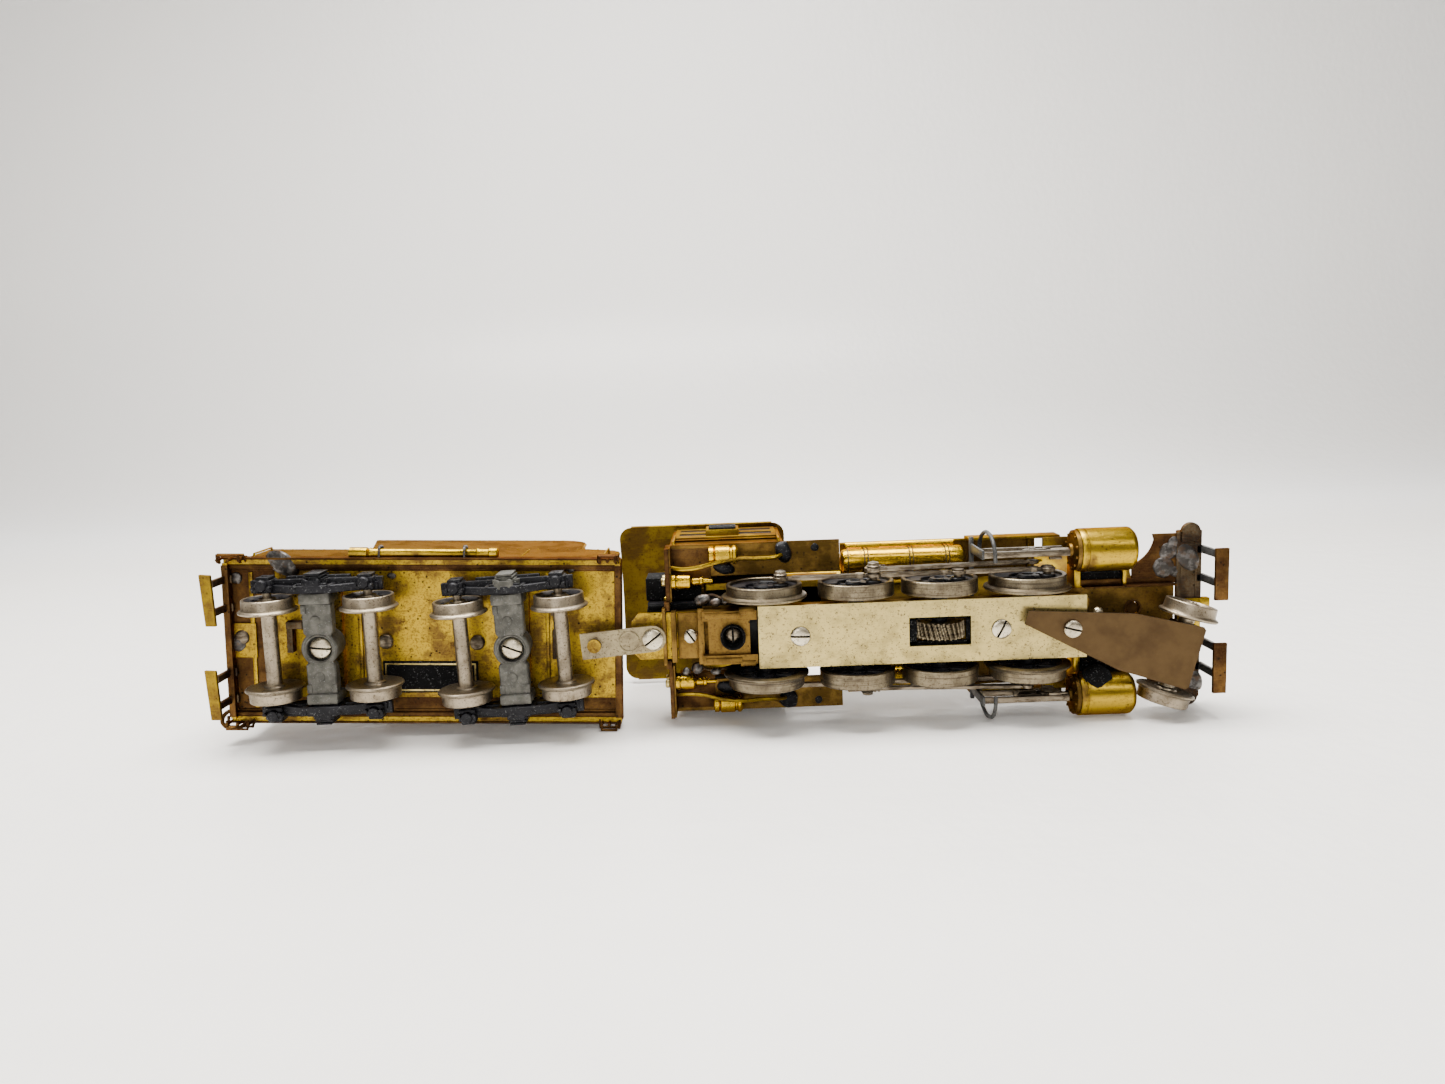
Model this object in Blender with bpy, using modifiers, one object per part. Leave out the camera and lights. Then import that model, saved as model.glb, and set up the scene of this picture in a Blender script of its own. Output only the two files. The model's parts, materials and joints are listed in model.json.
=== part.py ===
"""A 1:87 scale model steam locomotive with its tender, as separate pieces.

The engine stands upright on its wheels: +X is forward, +Y is its left side and +Z is up. Eight
coupled wheels, a swivelling pilot truck, rods and crossheads, a motor with a worm drive, and a
tender on two swivelling trucks behind a drawbar. Dimensions below are in millimetres.
"""

import math

import bmesh
import bpy
from mathutils import Matrix, Vector

MM = 0.001

# Where the engine's rear driver, on the rail centre line at flange height, lies in the part's frame
PLACE = (10.54, 0.0, 0.0)

# Running gear of the engine
GAUGE_BACK = 7.2  # half the distance between the backs of a pair of wheels
TYRE_FACE = 10.05  # outer face of every wheel, from the centre line
DRIVER_X = (0.0, 17.7, 33.8, 50.8)  # rear to front
AXLE_Z = 8.3
TREAD_R = 7.3
FLANGE_R = 8.3
RIM_R = 6.45
SPOKES = 12
CRANK_R = 3.9
RIGHT_CRANK = math.radians(-36)  # the left crank stands a quarter turn ahead
KEEPER_SCREW_X = {"rear": 6.6, "front": 45.0}
SIDE_ROD_Y = (10.75, 11.55)
MAIN_ROD_Y = (11.95, 12.65)
MAIN_ROD_LENGTH = 31.0

# Cylinders and slide bars
CYLINDER_Y = 14.2
CYLINDER_R = 4.2
CYLINDER_X = (60.2, 71.2)
CROSSHEAD_LENGTH = 4.6

# Pilot truck
PIVOT_X = 57.9
ARM_LENGTH = 21.7
TRUCK_SWING = math.radians(16)
SMALL_TREAD_R = 4.75
SMALL_FLANGE_R = 5.5
RAIL_Z = 1.0

# Motor and worm drive
WORM_AT = (33.8, 0.0, 15.1)
MOTOR_AT = (-5.0, 0.0, 18.0)
GEAR_R = 4.9
GEAR_TEETH = 26

# Boiler and cab
BOILER_Z = 31.0
BOILER_R = 10.5
CAB_X = (-18.5, 4.5)
CAB_HALF = 16.4
EAVE_Z = 44.0
ROOF_X = (-31.0, 6.2)
ROOF_HALF = 17.4
ROOF_RISE = 4.2

# Tender, measured from the drawbar pin
DRAWBAR_AT = (-21.8, 0.0)
DRAWBAR_LENGTH = 11.4
DRAWBAR_YAW = math.radians(-4.5)
TENDER_YAW = math.radians(2.3)
TENDER_X = (-72.4, 4.85)
TENDER_HALF = 16.3
FLOOR_Z = (12.0, 12.9)
KINGPIN_X = {"front": -15.45, "rear": -52.05}
TRUCK_YAW = {"front": math.radians(-4.1), "rear": math.radians(-2.2)}
TRUCK_HALF_BASE = 9.65
SMALL_AXLE_Z = RAIL_Z + SMALL_TREAD_R

SIDES = {"left": 1, "right": -1}
QUARTER = math.radians(90)

for old in list(bpy.data.objects):
    bpy.data.objects.remove(old, do_unlink=True)

parts = bpy.data.collections.new("model_steam_locomotive")
bpy.context.scene.collection.children.link(parts)


def material(name, color, roughness, metallic):
    mat = bpy.data.materials.new(name)
    mat.use_nodes = True
    shader = mat.node_tree.nodes["Principled BSDF"]
    shader.inputs["Base Color"].default_value = (*color, 1.0)
    shader.inputs["Roughness"].default_value = roughness
    shader.inputs["Metallic"].default_value = metallic
    mat.diffuse_color = (*color, 1.0)
    return mat


BRASS = material("brass", (0.50, 0.33, 0.10), 0.38, 1.0)
NICKEL = material("nickel_silver", (0.56, 0.52, 0.44), 0.34, 1.0)
STEEL = material("steel", (0.46, 0.43, 0.39), 0.30, 1.0)
BRONZE = material("bronze", (0.20, 0.12, 0.06), 0.42, 1.0)
CASTING = material("grey_casting", (0.19, 0.20, 0.20), 0.55, 0.8)
BLACK = material("black_paint", (0.012, 0.012, 0.014), 0.45, 0.0)


# Pieces: each of these gives a loose object that finish() joins, cuts and names


def from_bmesh(bm):
    mesh = bpy.data.meshes.new("piece")
    bmesh.ops.recalc_face_normals(bm, faces=bm.faces)
    bm.to_mesh(mesh)
    bm.free()
    piece = bpy.data.objects.new("piece", mesh)
    bpy.context.scene.collection.objects.link(piece)
    return piece


def baked(obj, matrix=None):
    """The object's evaluated mesh as a plain closed mesh object, in place of the object."""
    evaluated = obj.evaluated_get(bpy.context.evaluated_depsgraph_get())
    mesh = bpy.data.meshes.new_from_object(evaluated)
    bm = bmesh.new()
    bm.from_mesh(mesh)
    bmesh.ops.remove_doubles(bm, verts=bm.verts, dist=1e-7)
    if matrix is not None:
        bmesh.ops.transform(bm, matrix=matrix, verts=bm.verts)
    bpy.data.objects.remove(obj, do_unlink=True)
    bpy.data.meshes.remove(mesh)
    return from_bmesh(bm)


def box(x, y, z):
    """A block between the low and high values given for each axis."""
    bm = bmesh.new()
    bmesh.ops.create_cube(bm, size=1)
    size = [(high - low) * MM for low, high in (x, y, z)]
    centre = [(high + low) / 2 * MM for low, high in (x, y, z)]
    bmesh.ops.transform(
        bm, matrix=Matrix.Translation(centre) @ Matrix.Diagonal((*size, 1)), verts=bm.verts
    )
    return from_bmesh(bm)


def rod(radius, a, b, steps=20):
    """A round bar from point a to point b."""
    a, b = Vector(a) * MM, Vector(b) * MM
    bm = bmesh.new()
    bmesh.ops.create_cone(
        bm,
        cap_ends=True,
        segments=steps,
        radius1=radius * MM,
        radius2=radius * MM,
        depth=(b - a).length,
    )
    turn = (b - a).to_track_quat("Z", "Y").to_matrix().to_4x4()
    bmesh.ops.transform(bm, matrix=Matrix.Translation((a + b) / 2) @ turn, verts=bm.verts)
    return from_bmesh(bm)


AXIS_TURN = {
    "X": Matrix.Rotation(QUARTER, 4, "Y"),
    "Y": Matrix.Rotation(-QUARTER, 4, "X"),
    "Z": Matrix.Identity(4),
}


def turned(profile, axis="Y", at=(0, 0, 0), steps=32, ring=False):
    """A profile of (radius, distance along the axis) points, turned a full circle about the axis."""
    mesh = bpy.data.meshes.new("profile")
    count = len(profile)
    edges = [(i, (i + 1) % count) for i in range(count if ring else count - 1)]
    mesh.from_pydata([(r * MM, 0, h * MM) for r, h in profile], edges, [])
    piece = bpy.data.objects.new("profile", mesh)
    bpy.context.scene.collection.objects.link(piece)
    screw = piece.modifiers.new("turn", "SCREW")
    screw.steps = screw.render_steps = steps
    screw.use_merge_vertices = True
    screw.merge_threshold = 1e-7
    return baked(piece, Matrix.Translation(Vector(at) * MM) @ AXIS_TURN[axis])


OUTLINE_TURN = {
    "X": Matrix(((0, 0, 1, 0), (1, 0, 0, 0), (0, 1, 0, 0), (0, 0, 0, 1))),
    "Y": Matrix(((1, 0, 0, 0), (0, 0, -1, 0), (0, 1, 0, 0), (0, 0, 0, 1))),
    "Z": Matrix.Identity(4),
}


def flat(outline, low, high, axis="Z", holes=()):
    """A plate with this outline: (y, z) points for axis X, (x, z) for Y and (x, y) for Z."""
    curve = bpy.data.curves.new("outline", "CURVE")
    curve.dimensions = "2D"
    curve.fill_mode = "BOTH"
    curve.extrude = (high - low) / 2 * MM
    for points in (outline, *holes):
        spline = curve.splines.new("POLY")
        spline.points.add(len(points) - 1)
        for point, (u, v) in zip(spline.points, points):
            point.co = (u * MM, v * MM, 0, 1)
        spline.use_cyclic_u = True
    piece = bpy.data.objects.new("outline", curve)
    bpy.context.scene.collection.objects.link(piece)
    middle = (high + low) / 2 * MM * (-1 if axis == "Y" else 1)
    return baked(piece, OUTLINE_TURN[axis] @ Matrix.Translation((0, 0, middle)))


def arc(centre, radius, start, end, steps):
    """Points on a circle from the start angle to the end angle, in degrees."""
    angles = [math.radians(start + (end - start) * i / steps) for i in range(steps + 1)]
    return [(centre[0] + radius * math.cos(a), centre[1] + radius * math.sin(a)) for a in angles]


def circle(centre, radius, steps=14):
    return arc(centre, radius, 0, 360 - 360 / steps, steps - 1)


def apply_boolean(piece, others, operation):
    for other in others:
        boolean = piece.modifiers.new(operation, "BOOLEAN")
        boolean.operation = operation
        boolean.object = other
    result = baked(piece)
    for other in others:
        bpy.data.objects.remove(other, do_unlink=True)
    return result


def joined(first, *others):
    return apply_boolean(first, others, "UNION")


def cut(piece, *cutters):
    return apply_boolean(piece, cutters, "DIFFERENCE")


def finish(name, piece, mat, parent, angle=35):
    """Names the piece, gives it its material and hangs it on its body's empty."""
    piece.name = piece.data.name = name
    piece.data.materials.clear()
    piece.data.materials.append(mat)
    piece.data.shade_smooth()
    piece.data.set_sharp_from_angle(angle=math.radians(angle))
    bpy.context.scene.collection.objects.unlink(piece)
    parts.objects.link(piece)
    piece.parent = parent
    return piece


def copy_of(piece, name, parent):
    """Another object on the same mesh."""
    twin = bpy.data.objects.new(name, piece.data)
    parts.objects.link(twin)
    twin.parent = parent
    return twin


def body(name, at, parent=None, yaw=0.0):
    """The empty that carries one rigid body, on its joint's axis."""
    empty = bpy.data.objects.new(name, None)
    empty.empty_display_size = 4 * MM
    empty.location = Vector(at) * MM
    empty.rotation_euler = (0, 0, yaw)
    empty.parent = parent
    parts.objects.link(empty)
    return empty


def both(side, low, high):
    """The span low..high from the centre line, on this side of it."""
    return (low, high) if side > 0 else (-high, -low)


def screw_with_slot(at, head_r, head_z, shank_r, top_z, extra=()):
    """A slotted screw put in from below: its head spans head_z and its shank ends at top_z."""
    x, y = at
    pieces = [rod(shank_r, (x, y, head_z[1] - 0.1), (x, y, top_z), 12), *extra]
    piece = joined(rod(head_r, (x, y, head_z[0]), (x, y, head_z[1]), 20), *pieces)
    slot = box((x - head_r - 1, x + head_r + 1), (y - 0.2, y + 0.2), (head_z[0] - 1, head_z[0] + 0.35))
    return cut(piece, slot)


engine = body("engine", PLACE)


# Frame, keeper plate and screws


def make_frame():
    rails = [box((-12.1, 62), both(s, 3.4, 5.2), (6.0, 12.3)) for s in SIDES.values()]
    between = ((-11, -3), (4.6, 9), (23.6, 26.4), (42.3, 46.8), (56, 62))
    spacers = [box(x, (-5.2, 5.2), (7.0, 12.3)) for x in between]
    tail = box((-17, -3), (-4.6, 4.6), (10.9, 12.3))
    nose = box((56, 80.4), (-6.2, 6.2), (11.6, 12.4))
    step = box((56, 62), (-5.2, 5.2), (6.0, 7.5))
    seats = [box(x, (-2.4, 2.4), (12.1, z)) for x, z in (((8.6, 14), 13.0), ((57, 60), 19.8))]
    frame = joined(rails[0], rails[1], *spacers, tail, nose, step, *seats)
    slots = [box((x - 1.62, x + 1.62), (-7, 7), (5, AXLE_Z)) for x in DRIVER_X]
    bearings = [rod(1.65, (x, -7, AXLE_Z), (x, 7, AXLE_Z), 12) for x in DRIVER_X]
    drilled = [(x, 0, 0.9, 10.5) for x in KEEPER_SCREW_X.values()]
    drilled += [(PIVOT_X, 0, 1.08, 10.5), (-6.3, 0, 2.5, 14), (72.4, -1.7, 1.3, 14)]
    holes = [rod(radius, (x, y, 5), (x, y, top), 14) for x, y, radius, top in drilled]
    return cut(frame, *slots, *bearings, *holes)


finish("main_frame", make_frame(), BRASS, engine)

keeper = cut(
    box((-1.4, 61.3), (-6.06, 6.06), (5.1, 5.8)),
    box((27.4, 39.2), (-2.8, 2.8), (4, 7)),
    *[rod(1.95, (x, 0, 4), (x, 0, 7)) for x in KEEPER_SCREW_X.values()],
    rod(1.08, (PIVOT_X, 0, 4), (PIVOT_X, 0, 7)),
)
finish("keeper_plate", keeper, NICKEL, engine)
for place, x in KEEPER_SCREW_X.items():
    screw = screw_with_slot((x, 0), 1.85, (4.95, 5.9), 0.8, 9.8)
    finish(f"keeper_screw_{place}", screw, NICKEL, engine)

shoulder = rod(1.6, (PIVOT_X, 0, 3.85), (PIVOT_X, 0, 5.0), 14)
pivot_screw = screw_with_slot((PIVOT_X, 0), 1.65, (2.2, 2.95), 0.98, 9.8, [shoulder])
finish("pilot_truck_screw", pivot_screw, NICKEL, engine)


# Drawbar bracket under the frame's tail

bracket_outline = [(-26, -3.0), (-24.6, -4.6), (-12.5, -4.6), (-12.5, 4.6), (-24.6, 4.6), (-26, 3.0)]
bracket = cut(
    flat(bracket_outline, 9.9, 10.7),
    rod(1.05, (*DRAWBAR_AT, 9), (*DRAWBAR_AT, 12)),
)
finish("drawbar_bracket", bracket, BRASS, engine)
collar = rod(1.6, (*DRAWBAR_AT, 8.35), (*DRAWBAR_AT, 9.8), 14)
drawbar_screw = screw_with_slot(DRAWBAR_AT, 1.95, (6.6, 7.45), 0.98, 12.2, [collar])
finish("drawbar_screw", drawbar_screw, NICKEL, engine)


# Boiler with firebox, smokebox and domes


def make_boiler():
    z = BOILER_Z
    shell = [
        (0, 78.2), (3.5, 78.0), (7.2, 77.0), (7.6, 76.3), (10.4, 76.2), (10.9, 75.7), (10.9, 56.5),
        (BOILER_R, 56.4), (BOILER_R, -12), (0, -12),
    ]
    barrel = turned(shell, "X", (0, 0, z), 32)
    firebox = box((-11.6, 16), (-8.8, 8.8), (17.2, z - 0.7))
    foot = box((60.5, 71), (-5.0, 5.0), (20.0, 24))
    steam_dome = [
        (0, 46.8), (2.4, 46.4), (3.9, 45.2), (4.3, 43.6), (4.3, 41.6), (5.2, 40.2), (5.2, 36), (0, 36),
    ]
    sand_dome = [
        (0, 45.9), (2.2, 45.6), (3.5, 44.6), (3.9, 43.2), (3.9, 41.5), (4.8, 40.2), (4.8, 36), (0, 36),
    ]
    domes = [turned(steam_dome, "Z", (29.5, 0, 0), 16), turned(sand_dome, "Z", (47, 0, 0), 16)]
    boiler = joined(barrel, firebox, foot, *domes)
    motor_room = box((-10.8, 12), (-7.6, 7.6), (16, 27))
    motor_door = box((-14, -10), (-7.2, 7.2), (16, 24.2))
    shaft_way_out = [box((11, 15.2), (-7.6, 7.6), (16, 20.5)), box((14, 18), (-1.6, 1.6), (16, 18.6))]
    water_space = rod(9.6, (-10.8, 0, z), (74, 0, z), 24)
    return cut(boiler, motor_room, motor_door, *shaft_way_out, water_space)


finish("boiler", make_boiler(), BRASS, engine)

stack_profile = [
    (3.4, 50.2), (3.4, 49.2), (2.9, 48.8), (2.5, 44.6), (3.0, 43.0), (4.2, 42.3), (2.0, 42.3), (2.0, 50.2),
]
finish("smoke_stack", turned(stack_profile, "Z", (68.5, 0, 0), 16, ring=True), BRASS, engine)


# Cab and roof


def eave(y, lift=0.0):
    """Height of the roof's arch at this distance from the centre line."""
    return EAVE_Z + lift + ROOF_RISE * (1 - (y / ROOF_HALF) ** 2)


def make_cab():
    rear, front = CAB_X
    wall = [(-CAB_HALF, 15.6), (CAB_HALF, 15.6)]
    wall += [(y, eave(y, -0.4)) for y in [CAB_HALF * (1 - i / 5) for i in range(11)]]
    front_wall = flat(wall, front - 0.6, front, "X")
    sides = [
        box((rear, front), both(s, CAB_HALF - 0.6, CAB_HALF), (15.6, EAVE_Z - 0.2))
        for s in SIDES.values()
    ]
    floors = [box((rear, 15.5), both(s, 10.6, 17.0), (15.6, 16.3)) for s in SIDES.values()]
    beam = box((rear - 0.4, rear + 0.5), (-17.0, 17.0), (11.2, 16.6))
    cab = joined(front_wall, *sides, *floors, beam)
    boiler_hole = rod(BOILER_R + 0.5, (front - 2, 0, BOILER_Z), (front + 2, 0, BOILER_Z), 24)
    firebox_hole = box((front - 2, front + 2), (-9.1, 9.1), (12, BOILER_Z))
    drawgear = box((rear - 2, rear + 2), (-6.4, 6.4), (8, 18))
    windows = []
    for s in SIDES.values():
        windows += [box(x, both(s, 14, 18), (29.5, 39.5)) for x in ((-14.5, -7.2), (-5.6, 1.4))]
        windows.append(box((front - 2, front + 2), both(s, 11.8, 14.8), (31, 40)))
    return cut(cab, boiler_hole, firebox_hole, drawgear, *windows)


finish("cab", make_cab(), BRASS, engine)


def make_roof():
    low, high = ROOF_X
    across = [ROOF_HALF * (i / 8 - 1) for i in range(17)]
    section = [(y, eave(y, 0.8)) for y in across] + [(y, eave(y)) for y in reversed(across)]
    sheet = flat(section, low, high, "X")
    corner = 2.8
    plan = arc((high - corner, ROOF_HALF - corner), corner, 0, 90, 5)
    plan += arc((low + corner, ROOF_HALF - corner), corner, 90, 180, 5)
    plan += arc((low + corner, corner - ROOF_HALF), corner, 180, 270, 5)
    plan += arc((high - corner, corner - ROOF_HALF), corner, 270, 360, 5)
    return apply_boolean(sheet, [flat(plan, 40, 52)], "INTERSECT")


finish("cab_roof", make_roof(), BRASS, engine)


# Running boards and air tanks, one on each side

for side, s in SIDES.items():
    board = box((16.3, 56.2), both(s, 7.2, 15.2), (22.3, 22.9))
    finish(f"running_board_{side}", board, BRASS, engine)
    tank = [(0, 40.8), (1.6, 40.6), (2.5, 39.9), (2.5, 16.7), (1.6, 16.0), (0, 15.8)]
    tank_piece = turned(tank, "X", (0, s * 12.05, 18.6), 20)
    hanger = box((27.6, 29.0), both(s, 11.7, 12.4), (18.6, 22.0))
    finish(f"air_tank_{side}", joined(tank_piece, hanger), BRASS, engine)


# Pilot deck with its beam, footboards and brackets


def make_deck():
    half = [(82.4, 16.2), (76.3, 16.2), (76.0, 14.2), (75.0, 12.0), (73.6, 10.0), (72.4, 9.0), (72.4, 6.6)]
    outline = half + [(81.2, 6.6)]
    plates = [flat([(x, s * y) for x, y in outline], 12.2, 12.8) for s in SIDES.values()]
    beam = box((81.0, 86.0), (-16.8, 16.8), (11.8, 14.4))
    pad = box((81.4, 85.6), (-3.4, 3.4), (11.5, 12.2))
    boards, arms = [], []
    for y_board, y_arms in (((-14.5, -4.6), (-14.2, -8.6)), ((4.4, 14.2), (5.2, 10.8))):
        boards.append(box((84.9, 87.6), y_board, (1.5, 2.3)))
        arms += [box((86.3, 87.0), (y, y + 0.9), (2.0, 13.0)) for y in y_arms]
        arms += [box((85.6, 87.0), (y, y + 0.9), (12.2, 13.0)) for y in y_arms]
    return joined(beam, *plates, pad, *boards, *arms)


finish("pilot_deck", make_deck(), BRASS, engine)


# Cylinders, slide bars, crossheads


def make_cylinder(s):
    rear, front = CYLINDER_X
    y = s * CYLINDER_Y
    profile = [
        (0, front), (2.6, front), (CYLINDER_R - 0.2, front - 0.8), (CYLINDER_R, front - 1.3),
        (CYLINDER_R, rear + 0.1), (CYLINDER_R - 0.25, rear), (CYLINDER_R - 0.25, rear - 1.6), (0, rear - 1.6),
    ]
    barrel = turned(profile, "X", (0, y, AXLE_Z), 20)
    chest = box((61, 70.4), both(s, 10.8, 16.2), (11.0, 16.4))
    web = box((61, 70.4), both(s, 5.6, 12.0), (12.6, 15.4))
    saddle = box((61, 70.4), both(s, 0.15, 6.0), (12.6, 19.7))
    bore = rod(0.95, (rear - 3, y, AXLE_Z), (front - 2.2, y, AXLE_Z), 12)
    return cut(joined(barrel, chest, web, saddle), bore)


def make_yoke():
    """One cross stay behind the front drivers that carries both pairs of slide bars."""
    stay = box((41.2, 42.2), (-16.6, 16.6), (15.1, 16.2))
    pieces = []
    for s in SIDES.values():
        pieces.append(box((41.2, 42.2), both(s, 13.1, 16.6), (5.2, 15.6)))
        for z in (5.5, 10.35):
            pieces.append(box((41.8, 58.3), both(s, 13.4, 15.0), (z, z + 0.75)))
    return joined(stay, *pieces)


finish("guide_yoke", make_yoke(), STEEL, engine)

crank_angle = {"right": RIGHT_CRANK, "left": RIGHT_CRANK + QUARTER}
wrist_x = {}
for side, s in SIDES.items():
    finish(f"cylinder_{side}", make_cylinder(s), BRASS, engine)
    reach = math.sqrt(MAIN_ROD_LENGTH**2 - (CRANK_R * math.sin(crank_angle[side])) ** 2)
    wrist_x[side] = DRIVER_X[1] + CRANK_R * math.cos(crank_angle[side]) + reach
    slide = body(f"crosshead_{side}_slide", (wrist_x[side], s * CYLINDER_Y, AXLE_Z), engine)
    block = box((-CROSSHEAD_LENGTH / 2, CROSSHEAD_LENGTH / 2), (-0.8, 0.8), (-1.85, 1.85))
    piston_rod = rod(0.6, (CROSSHEAD_LENGTH / 2 - 0.5, 0, 0), (14.5, 0, 0), 12)
    finish(f"crosshead_{side}", joined(block, piston_rod), STEEL, slide)


# Drivers: a wheelset of axle, spoked centres and crank pins, and two tyres each


def make_centre(s, angle, pin_end, nut):
    """One spoked wheel centre with its crank pin, on side s, as pieces to join to the axle."""
    cx, cz = CRANK_R * math.cos(angle), CRANK_R * math.sin(angle)
    crank = math.degrees(angle)
    windows = []
    for i in range(SPOKES):
        middle = crank + (i + 0.5) * 360 / SPOKES
        from_crank = abs((middle - crank + 180) % 360 - 180)
        if 30 < from_crank < 135:  # the boss fills the near ones and the weight the far ones
            windows.append(
                arc((0, 0), 5.55, middle - 10.5, middle + 10.5, 2)
                + arc((0, 0), 2.6, middle + 6, middle - 6, 1)
            )
    return [
        flat(circle((0, 0), RIM_R, 24), *both(s, 7.6, 9.6), "Y", windows),
        rod(2.0, (0, s * 7.8, 0), (0, s * 9.95, 0), 12),
        rod(1.5, (cx, s * 7.9, cz), (cx, s * 10.3, cz), 12),
        rod(0.8, (cx, s * 10.0, cz), (cx, s * pin_end, cz), 10),
    ] + ([rod(1.3, (cx, s * (pin_end - nut), cz), (cx, s * (pin_end + 0.15), cz), 6)] if nut else [])


def make_wheelset(pin_end, nut):
    axle = rod(1.55, (0, -9.0, 0), (0, 9.0, 0), 10)
    pieces = []
    for side, s in SIDES.items():
        pieces += make_centre(s, crank_angle[side], pin_end, nut)
    return joined(axle, *pieces)


def make_tyre(s, flanged):
    out, back = TYRE_FACE, GAUGE_BACK
    if flanged:
        profile = [
            (RIM_R + 0.12, out), (TREAD_R, out), (TREAD_R + 0.04, 8.15), (FLANGE_R, 7.75),
            (FLANGE_R - 0.2, back), (RIM_R + 0.12, back),
        ]
    else:
        profile = [(RIM_R + 0.12, out), (TREAD_R, out), (TREAD_R, back), (RIM_R + 0.12, back)]
    return turned([(r, s * y) for r, y in profile], "Y", steps=24, ring=True)


def make_gear():
    """The worm wheel on the third axle."""
    pitch = math.radians(360 / GEAR_TEETH)
    outline = []
    for i in range(GEAR_TEETH):
        for share, radius in ((-0.27, GEAR_R - 0.65), (-0.13, GEAR_R), (0.13, GEAR_R), (0.27, GEAR_R - 0.65)):
            a = (i + share) * pitch
            outline.append((radius * math.cos(a), radius * math.sin(a)))
    return cut(flat(outline, -1.9, 1.9, "Y"), rod(1.6, (0, -3, 0), (0, 3, 0), 14))


main_pin, end_pin, plain_pin = 13.6, 12.5, 11.75
drivers = {}
tyres, wheelsets = {}, {}
for number, x in enumerate(DRIVER_X, 1):
    axle = drivers[number] = body(f"driver_{number}_axle_line", (x, 0, AXLE_Z), engine)
    kind = {1: (end_pin, 0.8), 2: (main_pin, 0.8)}.get(number, (plain_pin, 0))
    name = f"driver_{number}_wheelset"
    if kind in wheelsets:
        copy_of(wheelsets[kind], name, axle)
    else:
        wheelsets[kind] = finish(name, make_wheelset(*kind), BLACK, axle)
    for side, s in SIDES.items():
        flanged = number in (1, 4)
        name = f"driver_{number}_tyre_{side}"
        if (s, flanged) in tyres:
            copy_of(tyres[s, flanged], name, axle)
        else:
            tyres[s, flanged] = finish(name, make_tyre(s, flanged), NICKEL, axle)
finish("drive_gear", make_gear(), STEEL, drivers[3])


# Side rods and main rods, both hung on the crank pins of the second axle


def strap(eyes, half, angle=0.0):
    """The outline of a flat bar through eyes given as (x, radius), turned by the angle."""
    top = []
    for i, (x, radius) in enumerate(eyes):
        lean = math.degrees(math.asin(half / radius))
        start = 180 if i == 0 else 180 - lean
        end = 0 if i == len(eyes) - 1 else lean
        top += arc((x, 0), radius, start, end, 6)
    outline = top + [(x, -z) for x, z in reversed(top[1:-1])]
    c, s = math.cos(angle), math.sin(angle)
    return [(c * x - s * z, s * x + c * z) for x, z in outline]


for side, s in SIDES.items():
    angle = crank_angle[side]
    pin = (CRANK_R * math.cos(angle), 0, CRANK_R * math.sin(angle))
    pins = [x - DRIVER_X[1] for x in DRIVER_X]
    outline = strap([(x, 1.55) for x in pins], 0.75)
    holes = [circle((x, 0), 0.9) for x in pins]
    hinge = body(f"side_rod_{side}_pin", pin, drivers[2])
    side_rod = flat(outline, *both(s, *SIDE_ROD_Y), "Y", holes)
    finish(f"side_rod_{side}", side_rod, STEEL, hinge)

    lift = math.asin(-pin[2] / MAIN_ROD_LENGTH)
    outline = strap([(0, 1.7), (MAIN_ROD_LENGTH, 1.2)], 0.72, lift)
    hinge = body(f"main_rod_{side}_pin", pin, drivers[2])
    main_rod = flat(outline, *both(s, *MAIN_ROD_Y), "Y", [circle((0, 0), 0.9)])
    finish(f"main_rod_{side}", main_rod, STEEL, hinge)


# Motor: magnet frame, and the armature with its shaft and worm

shaft_way = (Vector(WORM_AT) - Vector(MOTOR_AT)).normalized()
shaft_tilt = math.atan2(-shaft_way.z, shaft_way.x)


def on_shaft(distance):
    return Vector(MOTOR_AT) + shaft_way * distance


magnet = box((-11.0, 3.6), (-6.2, 6.2), (12.7, 23.4))
brush_block = box((-23.0, -10.8), (-5.6, 5.6), (14.2, 21.6))
motor_frame = cut(
    joined(magnet, brush_block),
    rod(4.35, on_shaft(-8.6), on_shaft(30), 24),
    rod(0.85, on_shaft(-30), on_shaft(30), 12),
    box((-24, -20.6), (-7, -3.6), (18.6, 24)),
    box((-24, -20.6), (3.6, 7), (18.6, 24)),
)
finish("motor_frame", motor_frame, BLACK, engine)

armature_line = body("armature_line", MOTOR_AT, engine)
worm_end = (Vector(WORM_AT) - Vector(MOTOR_AT)).length
core = [(0, worm_end + 4.2), (0.75, worm_end + 4.2), (0.75, worm_end + 3.2)]
rings = 4
for i in range(rings):
    at = worm_end + 3.2 - i * 6.4 / rings
    core += [(1.15, at), (1.65, at - 0.35), (1.65, at - 0.6), (1.15, at - 0.95)]
core += [(0.75, worm_end - 3.2), (0.75, 8.2), (4.05, 8.2), (4.05, -7.6), (0.75, -7.6), (0.75, -16), (0, -16)]
armature = turned(core, "X", (0, 0, 0), 14)
armature.data.transform(Matrix.Rotation(shaft_tilt, 4, "Y"))
finish("motor_armature", armature, STEEL, armature_line)


# Pilot truck


def small_axle_profile(journal_end):
    """The turned outline of a wheelset: both wheels, the axle and its journals, top to bottom."""
    half = [
        (0, journal_end), (0.85, journal_end - 0.5), (0.85, 9.6), (4.1, TYRE_FACE - 0.1),
        (SMALL_TREAD_R, TYRE_FACE), (SMALL_TREAD_R + 0.03, 8.1), (SMALL_FLANGE_R, 7.7),
        (SMALL_FLANGE_R - 0.2, GAUGE_BACK), (1.5, GAUGE_BACK + 0.2),
    ]
    return half + [(r, -y) for r, y in reversed(half)]


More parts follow.
